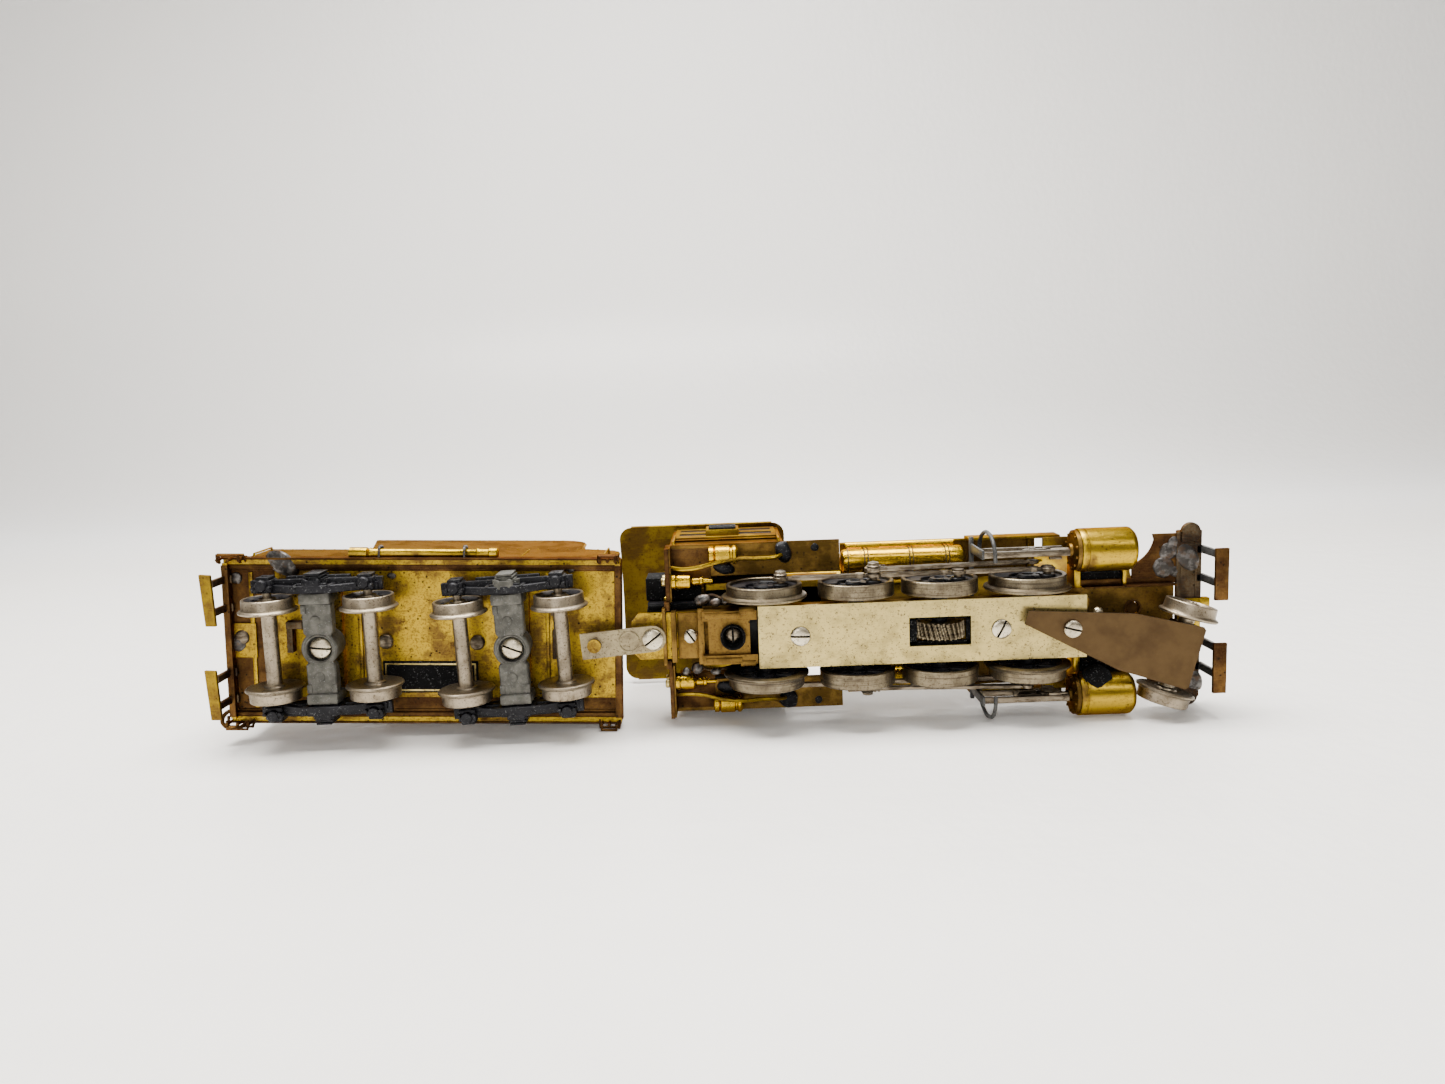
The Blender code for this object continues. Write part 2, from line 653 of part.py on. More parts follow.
truck = body("pilot_truck_pivot", (PIVOT_X, 0, 3.4), engine, TRUCK_SWING)
half_arm = [(-8.9, 1.35), (10.7, 5.6), (24.2, 6.2), (24.7, 5.7)]
arm_outline = half_arm + [(x, -y) for x, y in reversed(half_arm)]
truck_axle_z = SMALL_AXLE_Z - 3.4
arm = joined(
    flat(arm_outline, -0.3, 0.3),
    *[box((ARM_LENGTH - 2.2, ARM_LENGTH + 2.2), both(s, 5.0, 6.0), (-0.1, 4.4)) for s in SIDES.values()],
)
arm = cut(
    arm,
    rod(1.2, (0, 0, -2), (0, 0, 2)),
    rod(1.58, (ARM_LENGTH, -8, truck_axle_z), (ARM_LENGTH, 8, truck_axle_z)),
)
finish("pilot_truck_arm", arm, BRONZE, truck)
pilot_axle = body("pilot_axle_line", (ARM_LENGTH, 0, truck_axle_z), truck)
pilot_wheels = turned(small_axle_profile(10.3), "Y", steps=16)
finish("pilot_wheelset", pilot_wheels, NICKEL, pilot_axle)


# Drawbar and tender

drawbar_line = body("drawbar_pivot", (*DRAWBAR_AT, 7.9), engine, DRAWBAR_YAW)
strip = arc((0, 0), 2.55, -90, 90, 8) + [(-DRAWBAR_LENGTH - 2.6, 2.55), (-DRAWBAR_LENGTH - 2.6, -2.55)]
drawbar = cut(
    flat(strip, -0.3, 0.3),
    rod(1.08, (0, 0, -2), (0, 0, 2)),
    rod(1.08, (-DRAWBAR_LENGTH, 0, -2), (-DRAWBAR_LENGTH, 0, 2)),
)
finish("drawbar", drawbar, NICKEL, drawbar_line)

tender = body("tender_pivot", (-DRAWBAR_LENGTH, 0, -7.9), drawbar_line, TENDER_YAW - DRAWBAR_YAW)


def make_tender_floor():
    rear, front = TENDER_X
    floor = box((rear, front), (-TENDER_HALF, TENDER_HALF), FLOOR_Z)
    sills = [box((rear, front), both(s, 15.3, TENDER_HALF), (10.9, 12.4)) for s in SIDES.values()]
    ends = [box(x, (-15.6, 15.6), (10.2, 12.4)) for x in ((rear, rear + 1.0), (front - 1.0, front))]
    bolsters = [box((x - 2.3, x + 2.3), (-10, 10), (10.6, 12.4)) for x in KINGPIN_X.values()]
    pad = box((rear + 0.8, rear + 5.4), (-3.4, 3.4), (11.4, 12.4))
    pin = rod(0.97, (0, 0, 7.2), (0, 0, 12.4), 16)
    rivet = rod(1.35, (0, 0, 6.8), (0, 0, 7.45), 16)
    piece = joined(floor, *sills, *ends, *bolsters, pad, pin, rivet)
    return cut(piece, *[rod(1.0, (x, 0, 9), (x, 0, 12.4), 16) for x in KINGPIN_X.values()])


finish("tender_floor", make_tender_floor(), BRASS, tender)


def make_tank():
    outline = [(-70.8, 13.2), (3.4, 13.2), (3.4, 25.5)]
    outline += arc((-0.6, 25.5), 4.0, 10, 90, 5) + [(-5.4, 30.5)]
    outline += arc((-10.6, 38.8), 5.2, 0, 90, 6) + [(-52.9, 44.0), (-49.4, 29.5), (-70.8, 29.5)]
    tank = flat(outline, -15.6, 15.6, "Y")
    rear_line = [(-48.6, 27.0), (-52.0, 46.0), (-6.2, 46.0), (-6.2, 36.0), (-12.0, 27.0)]
    water_space = box((-70.0, 2.6), (-14.8, 14.8), (12, 26.0))
    return cut(tank, flat(rear_line, -14.9, 14.9, "Y"), water_space)


finish("tender_tank", make_tank(), BRASS, tender)

for side, s in SIDES.items():
    low, high = (4.4, 14.4) if s > 0 else (-14.2, -4.2)
    board = box((-75.0, -72.5), (low, high), (4.4, 5.1))
    arms = [box((-73.0, -72.6), (y, y + 1.0), (4.9, 12.0)) for y in (low + 1.6, high - 3.0)]
    finish(f"rear_footboard_{side}", joined(board, *arms), BRASS, tender)


# Tender trucks: bolster, two side frames and two wheelsets each

SIDE_FRAME_Z = 5.75


def make_bolster():
    bar_piece = box((-3.2, 3.2), (-10.7, 10.7), (4.2, 8.4))
    boss = rod(3.0, (0, 0, 8.0), (0, 0, 10.35), 20)
    ends = [box((-3.4, 3.4), both(s, 9.2, 10.7), (3.6, 8.8)) for s in SIDES.values()]
    return cut(
        joined(bar_piece, boss, *ends),
        rod(2.5, (0, 0, 3), (0, 0, 5.9), 24),
        rod(1.08, (0, 0, 3), (0, 0, 12), 16),
    )


def make_side_frame(s):
    z = SIDE_FRAME_Z
    top = [(-11.9, z + 1.5), (-7.6, z + 1.7), (-3.6, z + 3.9)]
    bottom = [(-11.9, z - 0.3), (-7.6, z - 0.6), (-3.6, z - 2.6)]
    outline = top + [(-x, h) for x, h in reversed(top)]
    outline += [(-x, h) for x, h in bottom] + list(reversed(bottom))
    window = [(-7.0, z + 0.4), (-3.2, z + 2.6), (-2.2, z + 2.6), (-2.2, z - 1.6), (-3.2, z - 1.6)]
    frame = flat(outline, *both(s, 11.0, 12.4), "Y")
    boxes = [
        box((x - 1.8, x + 1.8), both(s, 11.0, 14.3), (z - 2.2, z + 2.0))
        for x in (-TRUCK_HALF_BASE, TRUCK_HALF_BASE)
    ]
    springs = box((-2.0, 2.0), both(s, 11.6, 13.2), (z - 2.0, z + 2.6))
    windows = [flat([(m * x, h) for x, h in window], *both(s, 10, 16), "Y") for m in (-1, 1)]
    journals = [
        rod(1.0, (x, s * 10, z), (x, s * 12.9, z), 8) for x in (-TRUCK_HALF_BASE, TRUCK_HALF_BASE)
    ]
    return cut(joined(frame, *boxes, springs), *windows, *journals)


first_bolster, first_axle, first_frames = None, None, {}
for place, x in KINGPIN_X.items():
    screw = screw_with_slot((x, 0), 2.15, (4.5, 5.5), 0.95, 11.8)
    finish(f"kingpin_screw_{place}", screw, NICKEL, tender)
    swivel = body(f"tender_truck_{place}_pivot", (x, 0, 0), tender, TRUCK_YAW[place])
    if first_bolster:
        copy_of(first_bolster, f"truck_bolster_{place}", swivel)
    else:
        first_bolster = finish(f"truck_bolster_{place}", make_bolster(), CASTING, swivel)
    for side, s in SIDES.items():
        name = f"truck_frame_{place}_{side}"
        if side in first_frames:
            copy_of(first_frames[side], name, swivel)
        else:
            first_frames[side] = finish(name, make_side_frame(s), BLACK, swivel)
    for end, way in (("a", 1), ("b", -1)):
        line = body(f"tender_{place}_{end}_line", (way * TRUCK_HALF_BASE, 0, SIDE_FRAME_Z), swivel)
        name = f"tender_wheelset_{place}_{end}"
        if first_axle:
            copy_of(first_axle, name, line)
        else:
            first_axle = finish(name, turned(small_axle_profile(12.6), "Y", steps=16), NICKEL, line)

bpy.context.view_layer.update()
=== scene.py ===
"""The finished look of the model steam locomotive and its tender.

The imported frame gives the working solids; this file gives them their metals and paint, adds the
soldered, turned and cast details of a brass model, and sets the studio around it.
"""

import json
import math
import random

import bpy
from mathutils import Matrix, Vector


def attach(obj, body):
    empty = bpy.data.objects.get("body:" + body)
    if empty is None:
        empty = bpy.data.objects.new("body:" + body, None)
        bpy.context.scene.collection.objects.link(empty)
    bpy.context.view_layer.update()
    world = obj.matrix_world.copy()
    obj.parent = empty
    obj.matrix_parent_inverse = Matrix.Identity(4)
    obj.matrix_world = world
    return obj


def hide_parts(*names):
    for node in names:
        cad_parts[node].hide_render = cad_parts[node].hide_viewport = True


bl_info = {
    "name": "Model Steam Locomotive",
    "version": (1, 0, 0),
    "blender": (4, 5, 0),
    "location": "View3D > Sidebar > Locomotive",
    "description": "Builds the finished look of a brass model steam locomotive",
    "category": "Add Mesh",
}

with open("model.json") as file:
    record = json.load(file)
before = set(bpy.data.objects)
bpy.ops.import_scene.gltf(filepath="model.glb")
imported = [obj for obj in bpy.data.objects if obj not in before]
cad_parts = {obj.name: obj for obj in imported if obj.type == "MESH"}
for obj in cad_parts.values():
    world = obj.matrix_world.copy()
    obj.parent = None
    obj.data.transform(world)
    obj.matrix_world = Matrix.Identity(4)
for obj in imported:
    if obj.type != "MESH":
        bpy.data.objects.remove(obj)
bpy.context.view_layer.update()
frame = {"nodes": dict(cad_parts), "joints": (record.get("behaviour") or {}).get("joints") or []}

MM = 0.001
QUARTER = math.pi / 2
WHOLE_TURN = 2 * math.pi
BEVEL_ANGLE = math.radians(30)
SMOOTH_ANGLE = math.radians(32)
SLOT_WIDTH = 0.42
SIDES = {"left": 1, "right": -1}
AXES = {"X": Matrix.Rotation(QUARTER, 4, "Y"), "Y": Matrix.Rotation(-QUARTER, 4, "X"), "Z": Matrix()}

# Running gear, as in the frame
AXLE_Z = 8.3
CRANK_R = 3.9
MAIN_ROD_LENGTH = 31.0
CRANKS = {"right": math.radians(-36), "left": math.radians(54)}
SMALL_AXLE_Z = 5.75
TRUCK_HALF_BASE = 9.65
CYLINDER_Y = 14.2
BOILER_Z = 31.0


# Places: where each body's own coordinates lie, read from the joints


def joint(name):
    return next(j for j in frame["joints"] if j["name"] == name)


def flat_place(pivot, yaw):
    return Matrix.Translation((pivot[0], pivot[1], 0)) @ Matrix.Rotation(yaw, 4, "Z")


def across(axis):
    """The yaw that turns +Y onto this axle direction."""
    return math.atan2(-axis[0], axis[1])


kingpins = [joint(f"{end}_truck_swivel")["pos_m"] for end in ("front", "rear")]
tender_run = Vector(kingpins[0]) - Vector(kingpins[1])
drawbar_pin = joint("tender_swing")["pos_m"]
drawbar_run = Vector(drawbar_pin) - Vector(joint("drawbar_swing")["pos_m"])
PLACES = {
    "engine": Matrix.Translation((joint("driver_1_spin")["pos_m"][0], 0, 0)),
    "pilot_truck": flat_place(joint("pilot_truck_swing")["pos_m"], across(joint("pilot_axle_spin")["axis"])),
    "drawbar": flat_place(joint("drawbar_swing")["pos_m"], math.atan2(-drawbar_run.y, -drawbar_run.x)),
    "tender": flat_place(drawbar_pin, math.atan2(tender_run.y, tender_run.x)),
}
for end, kingpin in zip(("front", "rear"), kingpins):
    PLACES[f"{end}_truck"] = flat_place(kingpin, across(joint(f"{end}_truck_axle_a_spin")["axis"]))
DRIVER_X = [
    (joint(f"driver_{n}_spin")["pos_m"][0] - joint("driver_1_spin")["pos_m"][0]) / MM
    for n in (1, 2, 3, 4)
]


# Shader maths


class Value:
    """A shader socket. Arithmetic on it adds Math nodes."""

    def __init__(self, graph, socket):
        self.graph, self.socket = graph, socket

    def math(self, operation, *others):
        inputs = {i: v for i, v in enumerate((self, *others))}
        return self.graph.node("ShaderNodeMath", {"operation": operation}, inputs)

    def __add__(self, other):
        return self.math("ADD", other)

    def __sub__(self, other):
        return self.math("SUBTRACT", other)

    def __mul__(self, other):
        return self.math("MULTIPLY", other)

    def __rsub__(self, other):
        inputs = {0: other, 1: self}
        return self.graph.node("ShaderNodeMath", {"operation": "SUBTRACT"}, inputs)

    __radd__ = __add__
    __rmul__ = __mul__

    def over(self, low, high):
        """0 below low, 1 above high, and smooth between."""
        return self.graph.node(
            "ShaderNodeMapRange",
            {"interpolation_type": "SMOOTHSTEP"},
            {"Value": self, "From Min": low, "From Max": high},
        )

    def clamped(self):
        return self.graph.node("ShaderNodeClamp", {}, {"Value": self})


class Graph:
    """One material's nodes, with coordinates in millimetres of the frame."""

    def __init__(self, name):
        self.material = bpy.data.materials.new(name)
        self.material.use_nodes = True
        self.tree = self.material.node_tree
        self.shader = self.tree.nodes["Principled BSDF"]
        coordinates = self.node("ShaderNodeTexCoord", {}, {}, "Object")
        self.place = self.vector("SCALE", coordinates, scale=1 / MM)

    def node(self, kind, settings, inputs, output=0):
        node = self.tree.nodes.new(kind)
        for key, value in settings.items():
            setattr(node, key, value)
        for key, value in inputs.items():
            if isinstance(value, Value):
                self.tree.links.new(value.socket, node.inputs[key])
            else:
                node.inputs[key].default_value = value
        return Value(self, node.outputs[output])

    def vector(self, operation, a, b=None, scale=None):
        inputs = {0: a}
        if b is not None:
            inputs[1] = b
        if scale is not None:
            inputs["Scale"] = scale
        return self.node("ShaderNodeVectorMath", {"operation": operation}, inputs)

    def along(self, axis):
        return self.node("ShaderNodeSeparateXYZ", {}, {0: self.place}, axis)

    def noise(self, scale, detail=4.0, rough=0.55, stretch=(1, 1, 1), shift=0.0):
        place = self.vector("MULTIPLY", self.place, stretch)
        if shift:
            place = self.vector("ADD", place, (shift, shift, shift))
        inputs = {"Vector": place, "Scale": scale, "Detail": detail, "Roughness": rough}
        return self.node("ShaderNodeTexNoise", {}, inputs)

    def cells(self, scale):
        return self.node("ShaderNodeTexVoronoi", {}, {"Vector": self.place, "Scale": scale})

    def mix(self, a, b, factor):
        colours = [(*c, 1) if isinstance(c, tuple) else c for c in (a, b)]
        inputs = {0: factor, 6: colours[0], 7: colours[1]}
        return self.node("ShaderNodeMix", {"data_type": "RGBA"}, inputs, 2)

    def finish(self, colour, rough, metallic=1.0, height=None, depth=0.02, **fixed):
        wanted = {"Base Color": colour, "Roughness": rough, "Metallic": metallic, **fixed}
        if height is not None:
            inputs = {"Strength": 1.0, "Distance": depth * MM, "Height": height}
            wanted["Normal"] = self.node("ShaderNodeBump", {}, inputs)
        for key, value in wanted.items():
            if isinstance(value, Value):
                self.tree.links.new(value.socket, self.shader.inputs[key])
            else:
                self.shader.inputs[key].default_value = (*value, 1) if isinstance(value, tuple) else value
        return self.material


# Metals and paint


def brass(name, clean, aged, stain=(0.075, 0.036, 0.014), age=0.5, dirt=0.5, rough=0.30, lathe=None):
    """Brass with a drifting tarnish, brown stains, fine specks and, if turned, faint tool rings."""
    g = Graph(name)
    drift = g.noise(0.16, 5, 0.6).over(0.56 - 0.2 * age, 0.70 - 0.16 * age)
    blot = g.noise(0.42, 6, 0.74, shift=7.3).over(0.64 - 0.11 * dirt, 0.76 - 0.10 * dirt)
    specks = g.noise(2.2, 4, 0.78, shift=3.1).over(0.56 - 0.08 * dirt, 0.62 - 0.07 * dirt)
    pits = 1 - g.cells(0.85).over(0.12, 0.24)
    pits = pits * g.noise(0.5, 2, 0.5, shift=11.0).over(0.46, 0.56)
    grain = g.noise(1.1, 4, 0.6, (0.25, 3.0, 3.0), 2.0)
    tone = g.mix(clean, aged, drift)
    tone = g.mix(tone, tuple(c * 1.22 for c in clean), grain.over(0.52, 0.75) * 0.5)
    tone = g.mix(tone, stain, (blot * 0.75 + specks * (0.35 + 0.4 * dirt)).clamped())
    tone = g.mix(tone, (0.02, 0.014, 0.008), (pits * (0.3 + dirt)).clamped())
    roughness = rough + drift * 0.10 + blot * 0.22 + grain * 0.10
    height = grain * 0.35 + specks * 0.25 - pits * 0.6 - blot * 0.25
    if lathe is not None:
        rings = g.noise(3.0, 2, 0.5, tuple(3.0 if i == lathe else 0.05 for i in range(3)))
        height = height + rings * 0.6
        tone = g.mix(tone, aged, rings.over(0.5, 0.7) * 0.35)
    return g.finish(tone, roughness, 1.0, height, 0.03, **{"Specular Tint": (0.58, 0.36, 0.08)})


def nickel(name, clean, dull, rough=0.30, dirt=0.4, stretch=(0.2, 2.5, 2.5), grooves=False):
    """Nickel silver or plated metal: fine drawn lines, dull drifts and small dark specks."""
    g = Graph(name)
    drift = g.noise(0.28, 5, 0.6, shift=5.0).over(0.42, 0.70)
    lines = g.noise(1.7, 4, 0.6, stretch)
    specks = g.noise(2.1, 4, 0.78, shift=9.0).over(0.58 - 0.04 * dirt, 0.64 - 0.04 * dirt)
    grime = g.noise(0.7, 5, 0.7, shift=1.5).over(0.54, 0.70)
    tone = g.mix(clean, dull, drift * 0.75 + lines.over(0.45, 0.7) * 0.25)
    tone = g.mix(tone, (0.10, 0.075, 0.05), (specks * 0.85 + grime * dirt * 0.6).clamped())
    if grooves:
        rings = g.noise(1.0, 3, 0.7, (0.04, 2.6, 0.04), 6.0).over(0.52, 0.60)
        tone = g.mix(tone, (0.05, 0.038, 0.028), rings * 0.7)
    roughness = rough + drift * 0.12 + specks * 0.25 + lines * 0.10
    return g.finish(tone, roughness, 1.0, lines * 0.5 - specks * 0.5, 0.015)


def steel(name, clean=(0.20, 0.165, 0.118), dark=(0.045, 0.032, 0.021)):
    """Ground steel with a brown-grey oxide in its hollows."""
    g = Graph(name)
    streaks = g.noise(1.3, 5, 0.65, (0.15, 2.2, 2.2))
    oxide = g.noise(0.9, 6, 0.75, (0.3, 1.0, 1.0), 4.0).over(0.42, 0.62)
    tone = g.mix(clean, dark, (oxide * 0.8 + streaks.over(0.55, 0.8) * 0.4).clamped())
    return g.finish(tone, 0.26 + oxide * 0.25 + streaks * 0.1, 1.0, streaks * 0.6 - oxide * 0.3, 0.015)


def bronze(name):
    """Chemically darkened sheet with a fine rolled grain."""
    g = Graph(name)
    grain = g.noise(2.2, 4, 0.6)
    drift = g.noise(0.22, 4, 0.6).over(0.35, 0.75)
    blot = g.noise(0.9, 5, 0.7, shift=6.0).over(0.62, 0.76)
    tone = g.mix((0.085, 0.052, 0.022), (0.055, 0.032, 0.014), drift)
    tone = g.mix(tone, (0.14, 0.09, 0.035), blot * 0.35)
    tone = g.mix(tone, (0.06, 0.035, 0.02), grain.over(0.58, 0.75) * 0.3)
    return g.finish(tone, 0.38 + grain * 0.14, 0.92, grain, 0.012)


def casting(name, light, dark, rough=0.5):
    """A die casting: crinkled skin, grey bloom and darker hollows."""
    g = Graph(name)
    crinkle = g.noise(1.4, 6, 0.7)
    bloom = g.noise(0.5, 4, 0.6, shift=8.0).over(0.35, 0.7)
    specks = g.noise(2.6, 3, 0.7, shift=2.0).over(0.60, 0.68)
    tone = g.mix(dark, light, (bloom * 0.7 + crinkle * 0.4).clamped())
    tone = g.mix(tone, (0.34, 0.35, 0.35), specks * 0.35)
    return g.finish(
        tone, rough + crinkle * 0.15, 0.5, crinkle + specks * 0.3, 0.06, **{"Specular IOR Level": 0.3}
    )


def black(name, worn=0.4, sheen=0.38, rust=0.3):
    """Black paint over metal, chipped to a brown and grey under-layer."""
    g = Graph(name)
    chips = g.noise(2.0, 5, 0.75, shift=3.0).over(0.64 - 0.05 * worn, 0.69)
    dust = g.noise(0.6, 5, 0.65, shift=5.5).over(0.45, 0.68)
    skin = g.noise(3.0, 3, 0.5)
    tone = g.mix((0.004, 0.004, 0.006), (0.018, 0.016, 0.015), dust)
    tone = g.mix(tone, (0.10, 0.065, 0.04), dust * rust * g.noise(1.2, 3, 0.6).over(0.5, 0.7))
    tone = g.mix(tone, (0.26, 0.25, 0.24), chips * worn)
    return g.finish(
        tone, sheen + dust * 0.2 + skin * 0.06, chips * 0.8 * worn, skin - chips, 0.02,
        **{"Specular IOR Level": 0.25},
    )


def solder(name):
    """Lumpy grey solder gone dull."""
    g = Graph(name)
    lumps = g.noise(0.9, 5, 0.6)
    bright = g.noise(0.8, 3, 0.6, shift=2.5).over(0.42, 0.66)
    tone = g.mix((0.05, 0.046, 0.043), (0.15, 0.142, 0.135), bright)
    tone = g.mix(tone, (0.09, 0.05, 0.025), g.noise(0.6, 4, 0.6, shift=4.4).over(0.50, 0.64) * 0.55)
    return g.finish(tone, 0.34 + lumps * 0.2, 0.9, lumps, 0.12)


def make_materials(colours):
    clean, aged = tuple(colours.brass), tuple(colours.aged_brass)
    pale = tuple(colours.nickel)
    rich = (clean[0] * 1.25, clean[1] * 1.16, clean[2] * 0.7)
    return {
        "floor_brass": brass("Speckled Floor Brass", clean, aged, age=0.5, dirt=0.62, rough=0.31),
        "sheet_brass": brass(
            "Sheet Brass", tuple(c * 0.66 for c in clean), aged, age=0.6, dirt=0.25, rough=0.36
        ),
        "aged_floor": brass(
            "Aged Sheet Brass", tuple(c * 1.15 for c in aged), tuple(c * 0.55 for c in aged), age=0.55,
            dirt=0.45, rough=0.36,
        ),
        "rust_brass": brass(
            "Browned Brass", (0.115, 0.060, 0.018), (0.045, 0.021, 0.009), age=0.8, dirt=0.8, rough=0.4
        ),
        "turned_brass": brass("Turned Brass", rich, clean, age=0.4, dirt=0.15, rough=0.16, lathe=0),
        "cylinder_brass": brass("Cylinder Brass", clean, aged, age=0.3, dirt=0.3, rough=0.24),
        "nickel": nickel("Nickel Silver", pale, tuple(c * 0.68 for c in pale)),
        "dull_nickel": nickel("Dull Nickel Silver", (0.26, 0.215, 0.125), (0.15, 0.12, 0.075), dirt=0.8),
        # Matte black for black parts. The same finish is also painted shade in slots, pits, recesses and
        # behind openings.
        "matte_black_and_shade": casting("Matte Black and Painted Shade", (0.006, 0.006, 0.007), (0.002, 0.002, 0.002), 0.85),
        "tyre": nickel(
            "Plated Tyres", (0.20, 0.165, 0.105), (0.065, 0.05, 0.032), 0.25, 0.9, (2.5, 0.6, 2.5), True
        ),
        "small_wheel": nickel(
            "Plated Small Wheels", (0.30, 0.25, 0.18), (0.15, 0.12, 0.08), 0.33, 0.6, (2, 0.5, 2)
        ),
        "screw": nickel("Bright Screws", (0.62, 0.55, 0.40), (0.38, 0.32, 0.22), 0.2, 0.4, (1, 1, 1)),
        "steel": steel("Ground Steel"),
        "bronze": bronze("Darkened Bronze"),
        "casting": casting("Grey Casting", (0.13, 0.126, 0.108), (0.042, 0.041, 0.036)),
        "dark_casting": casting("Dark Casting", (0.010, 0.010, 0.013), (0.002, 0.002, 0.003), 0.36),
        "iron": casting("Dull Iron", (0.10, 0.10, 0.095), (0.03, 0.03, 0.03), 0.4),
        "black": black("Black Paint"),
        "motor_black": black("Motor Black", 0.2, 0.32, 0.1),
        "solder": solder("Old Solder"),
        "dark_brass": brass(
            "Blackened Brass", (0.10, 0.075, 0.045), (0.035, 0.026, 0.02), age=0.7, dirt=0.6, rough=0.42
        ),
    }


MATERIALS = {}


# Modelling helpers: sizes are in millimetres, in the coordinates of the place a piece belongs to


def clear():
    if bpy.context.mode != "OBJECT":
        bpy.ops.object.mode_set(mode="OBJECT")
    bpy.ops.object.select_all(action="DESELECT")


def hold(obj):
    clear()
    obj.select_set(True)
    bpy.context.view_layer.objects.active = obj
    return obj


def settle(obj):
    hold(obj)
    bpy.ops.object.transform_apply(location=True, rotation=True, scale=True)
    return obj


def bevelled(obj, width, segments=2):
    if width:
        bevel = obj.modifiers.new("edges", "BEVEL")
        bevel.width, bevel.segments = width * MM, segments
        bevel.limit_method, bevel.angle_limit = "ANGLE", BEVEL_ANGLE
        hold(obj)
        bpy.ops.object.modifier_apply(modifier=bevel.name)
    return obj


def cut(obj, tool, keep=False):
    """Takes the tool's shape out of the piece, and the tool away unless it is kept."""
    boolean = obj.modifiers.new("cut", "BOOLEAN")
    boolean.operation, boolean.object = "DIFFERENCE", tool
    hold(obj)
    bpy.ops.object.modifier_apply(modifier=boolean.name)
    if not keep:
        bpy.data.objects.remove(tool, do_unlink=True)


def joined(parts):
    """The parts as one object, which takes the first part's place."""
    clear()
    for part in parts:
        part.select_set(True)
    bpy.context.view_layer.objects.active = parts[0]
    if len(parts) > 1:
        bpy.ops.object.join()
    return parts[0]


def block(x, y, z, edge=0.12):
    """A bevelled block between the low and high values on each axis."""
    clear()
    centre = [(low + high) / 2 * MM for low, high in (x, y, z)]
    bpy.ops.mesh.primitive_cube_add(size=1, location=centre)
    obj = bpy.context.object
    obj.scale = [(high - low) * MM for low, high in (x, y, z)]
    return bevelled(settle(obj), edge)


def turned(profile, axis="Y", at=(0, 0, 0), sides=32, edge=0.0):
    """A turned piece: a disc extruded and resized along its axis through (radius, height) steps."""
    clear()
    steps = [(max(r, 0.01), h) for r, h in profile]
    bpy.ops.mesh.primitive_circle_add(vertices=sides, radius=steps[0][0] * MM, fill_type="NGON")
    obj = bpy.context.object
    bpy.ops.object.mode_set(mode="EDIT")
    bpy.ops.mesh.select_all(action="SELECT")
    bpy.ops.transform.translate(value=(0, 0, steps[0][1] * MM))
    for (r0, h0), (r1, h1) in zip(steps, steps[1:]):
        bpy.ops.mesh.extrude_region_move(TRANSFORM_OT_translate={"value": (0, 0, (h1 - h0) * MM)})
        if r1 != r0:
            ratio = r1 / r0
            bpy.ops.transform.resize(value=(ratio, ratio, 1), center_override=(0, 0, h1 * MM))
    bpy.ops.mesh.select_all(action="SELECT")
    bpy.ops.mesh.normals_make_consistent(inside=False)
    bpy.ops.object.mode_set(mode="OBJECT")
    obj.matrix_world = Matrix.Translation(Vector(at) * MM) @ AXES[axis]
    return bevelled(settle(obj), edge)


def ring(profile, axis="Y", at=(0, 0, 0), sides=48):
    """A turned ring: its closed section of (radius, height) points, spun about the axis."""
    clear()
    bpy.ops.mesh.primitive_circle_add(vertices=len(profile), radius=MM, fill_type="NOTHING")
    obj = bpy.context.object
    for vertex, (r, h) in zip(obj.data.vertices, profile):
        vertex.co = (r * MM, 0, h * MM)
    bpy.ops.object.mode_set(mode="EDIT")
    bpy.ops.mesh.select_all(action="SELECT")
    bpy.ops.mesh.spin(steps=sides, angle=WHOLE_TURN, center=(0, 0, 0), axis=(0, 0, 1))
    bpy.ops.mesh.select_all(action="SELECT")
    bpy.ops.mesh.remove_doubles(threshold=1e-6)
    bpy.ops.mesh.normals_make_consistent(inside=False)
    bpy.ops.object.mode_set(mode="OBJECT")
    obj.matrix_world = Matrix.Translation(Vector(at) * MM) @ AXES[axis]
    return settle(obj)


def bar_between(a, b, radius, sides=12, edge=0.0):
    """A round bar from a to b."""
    a, b = Vector(a), Vector(b)
    clear()
    bpy.ops.mesh.primitive_cylinder_add(vertices=sides, radius=radius * MM, depth=(b - a).length * MM)
    obj = bpy.context.object
    turn = (b - a).to_track_quat("Z", "Y").to_matrix().to_4x4()
    obj.matrix_world = Matrix.Translation((a + b) / 2 * MM) @ turn
    return bevelled(settle(obj), edge or radius * 0.2, 1)


def wire(points, radius, smooth=True):
    """A bent wire through the points, as a mesh."""
    clear()
    curve = bpy.data.curves.new("wire", "CURVE")
    curve.dimensions, curve.bevel_depth = "3D", radius * MM
    curve.bevel_resolution, curve.use_fill_caps, curve.resolution_u = 2, True, 8
    spline = curve.splines.new("BEZIER" if smooth else "POLY")
    if smooth:
        spline.bezier_points.add(len(points) - 1)
        for point, place in zip(spline.bezier_points, points):
            point.co = Vector(place) * MM
            point.handle_left_type = point.handle_right_type = "AUTO"
    else:
        spline.points.add(len(points) - 1)
        for point, place in zip(spline.points, points):
            point.co = (*(Vector(place) * MM), 1)
    obj = bpy.data.objects.new("wire", curve)
    bpy.context.scene.collection.objects.link(obj)
    hold(obj)
    bpy.ops.object.convert(target="MESH")
    return bpy.context.object


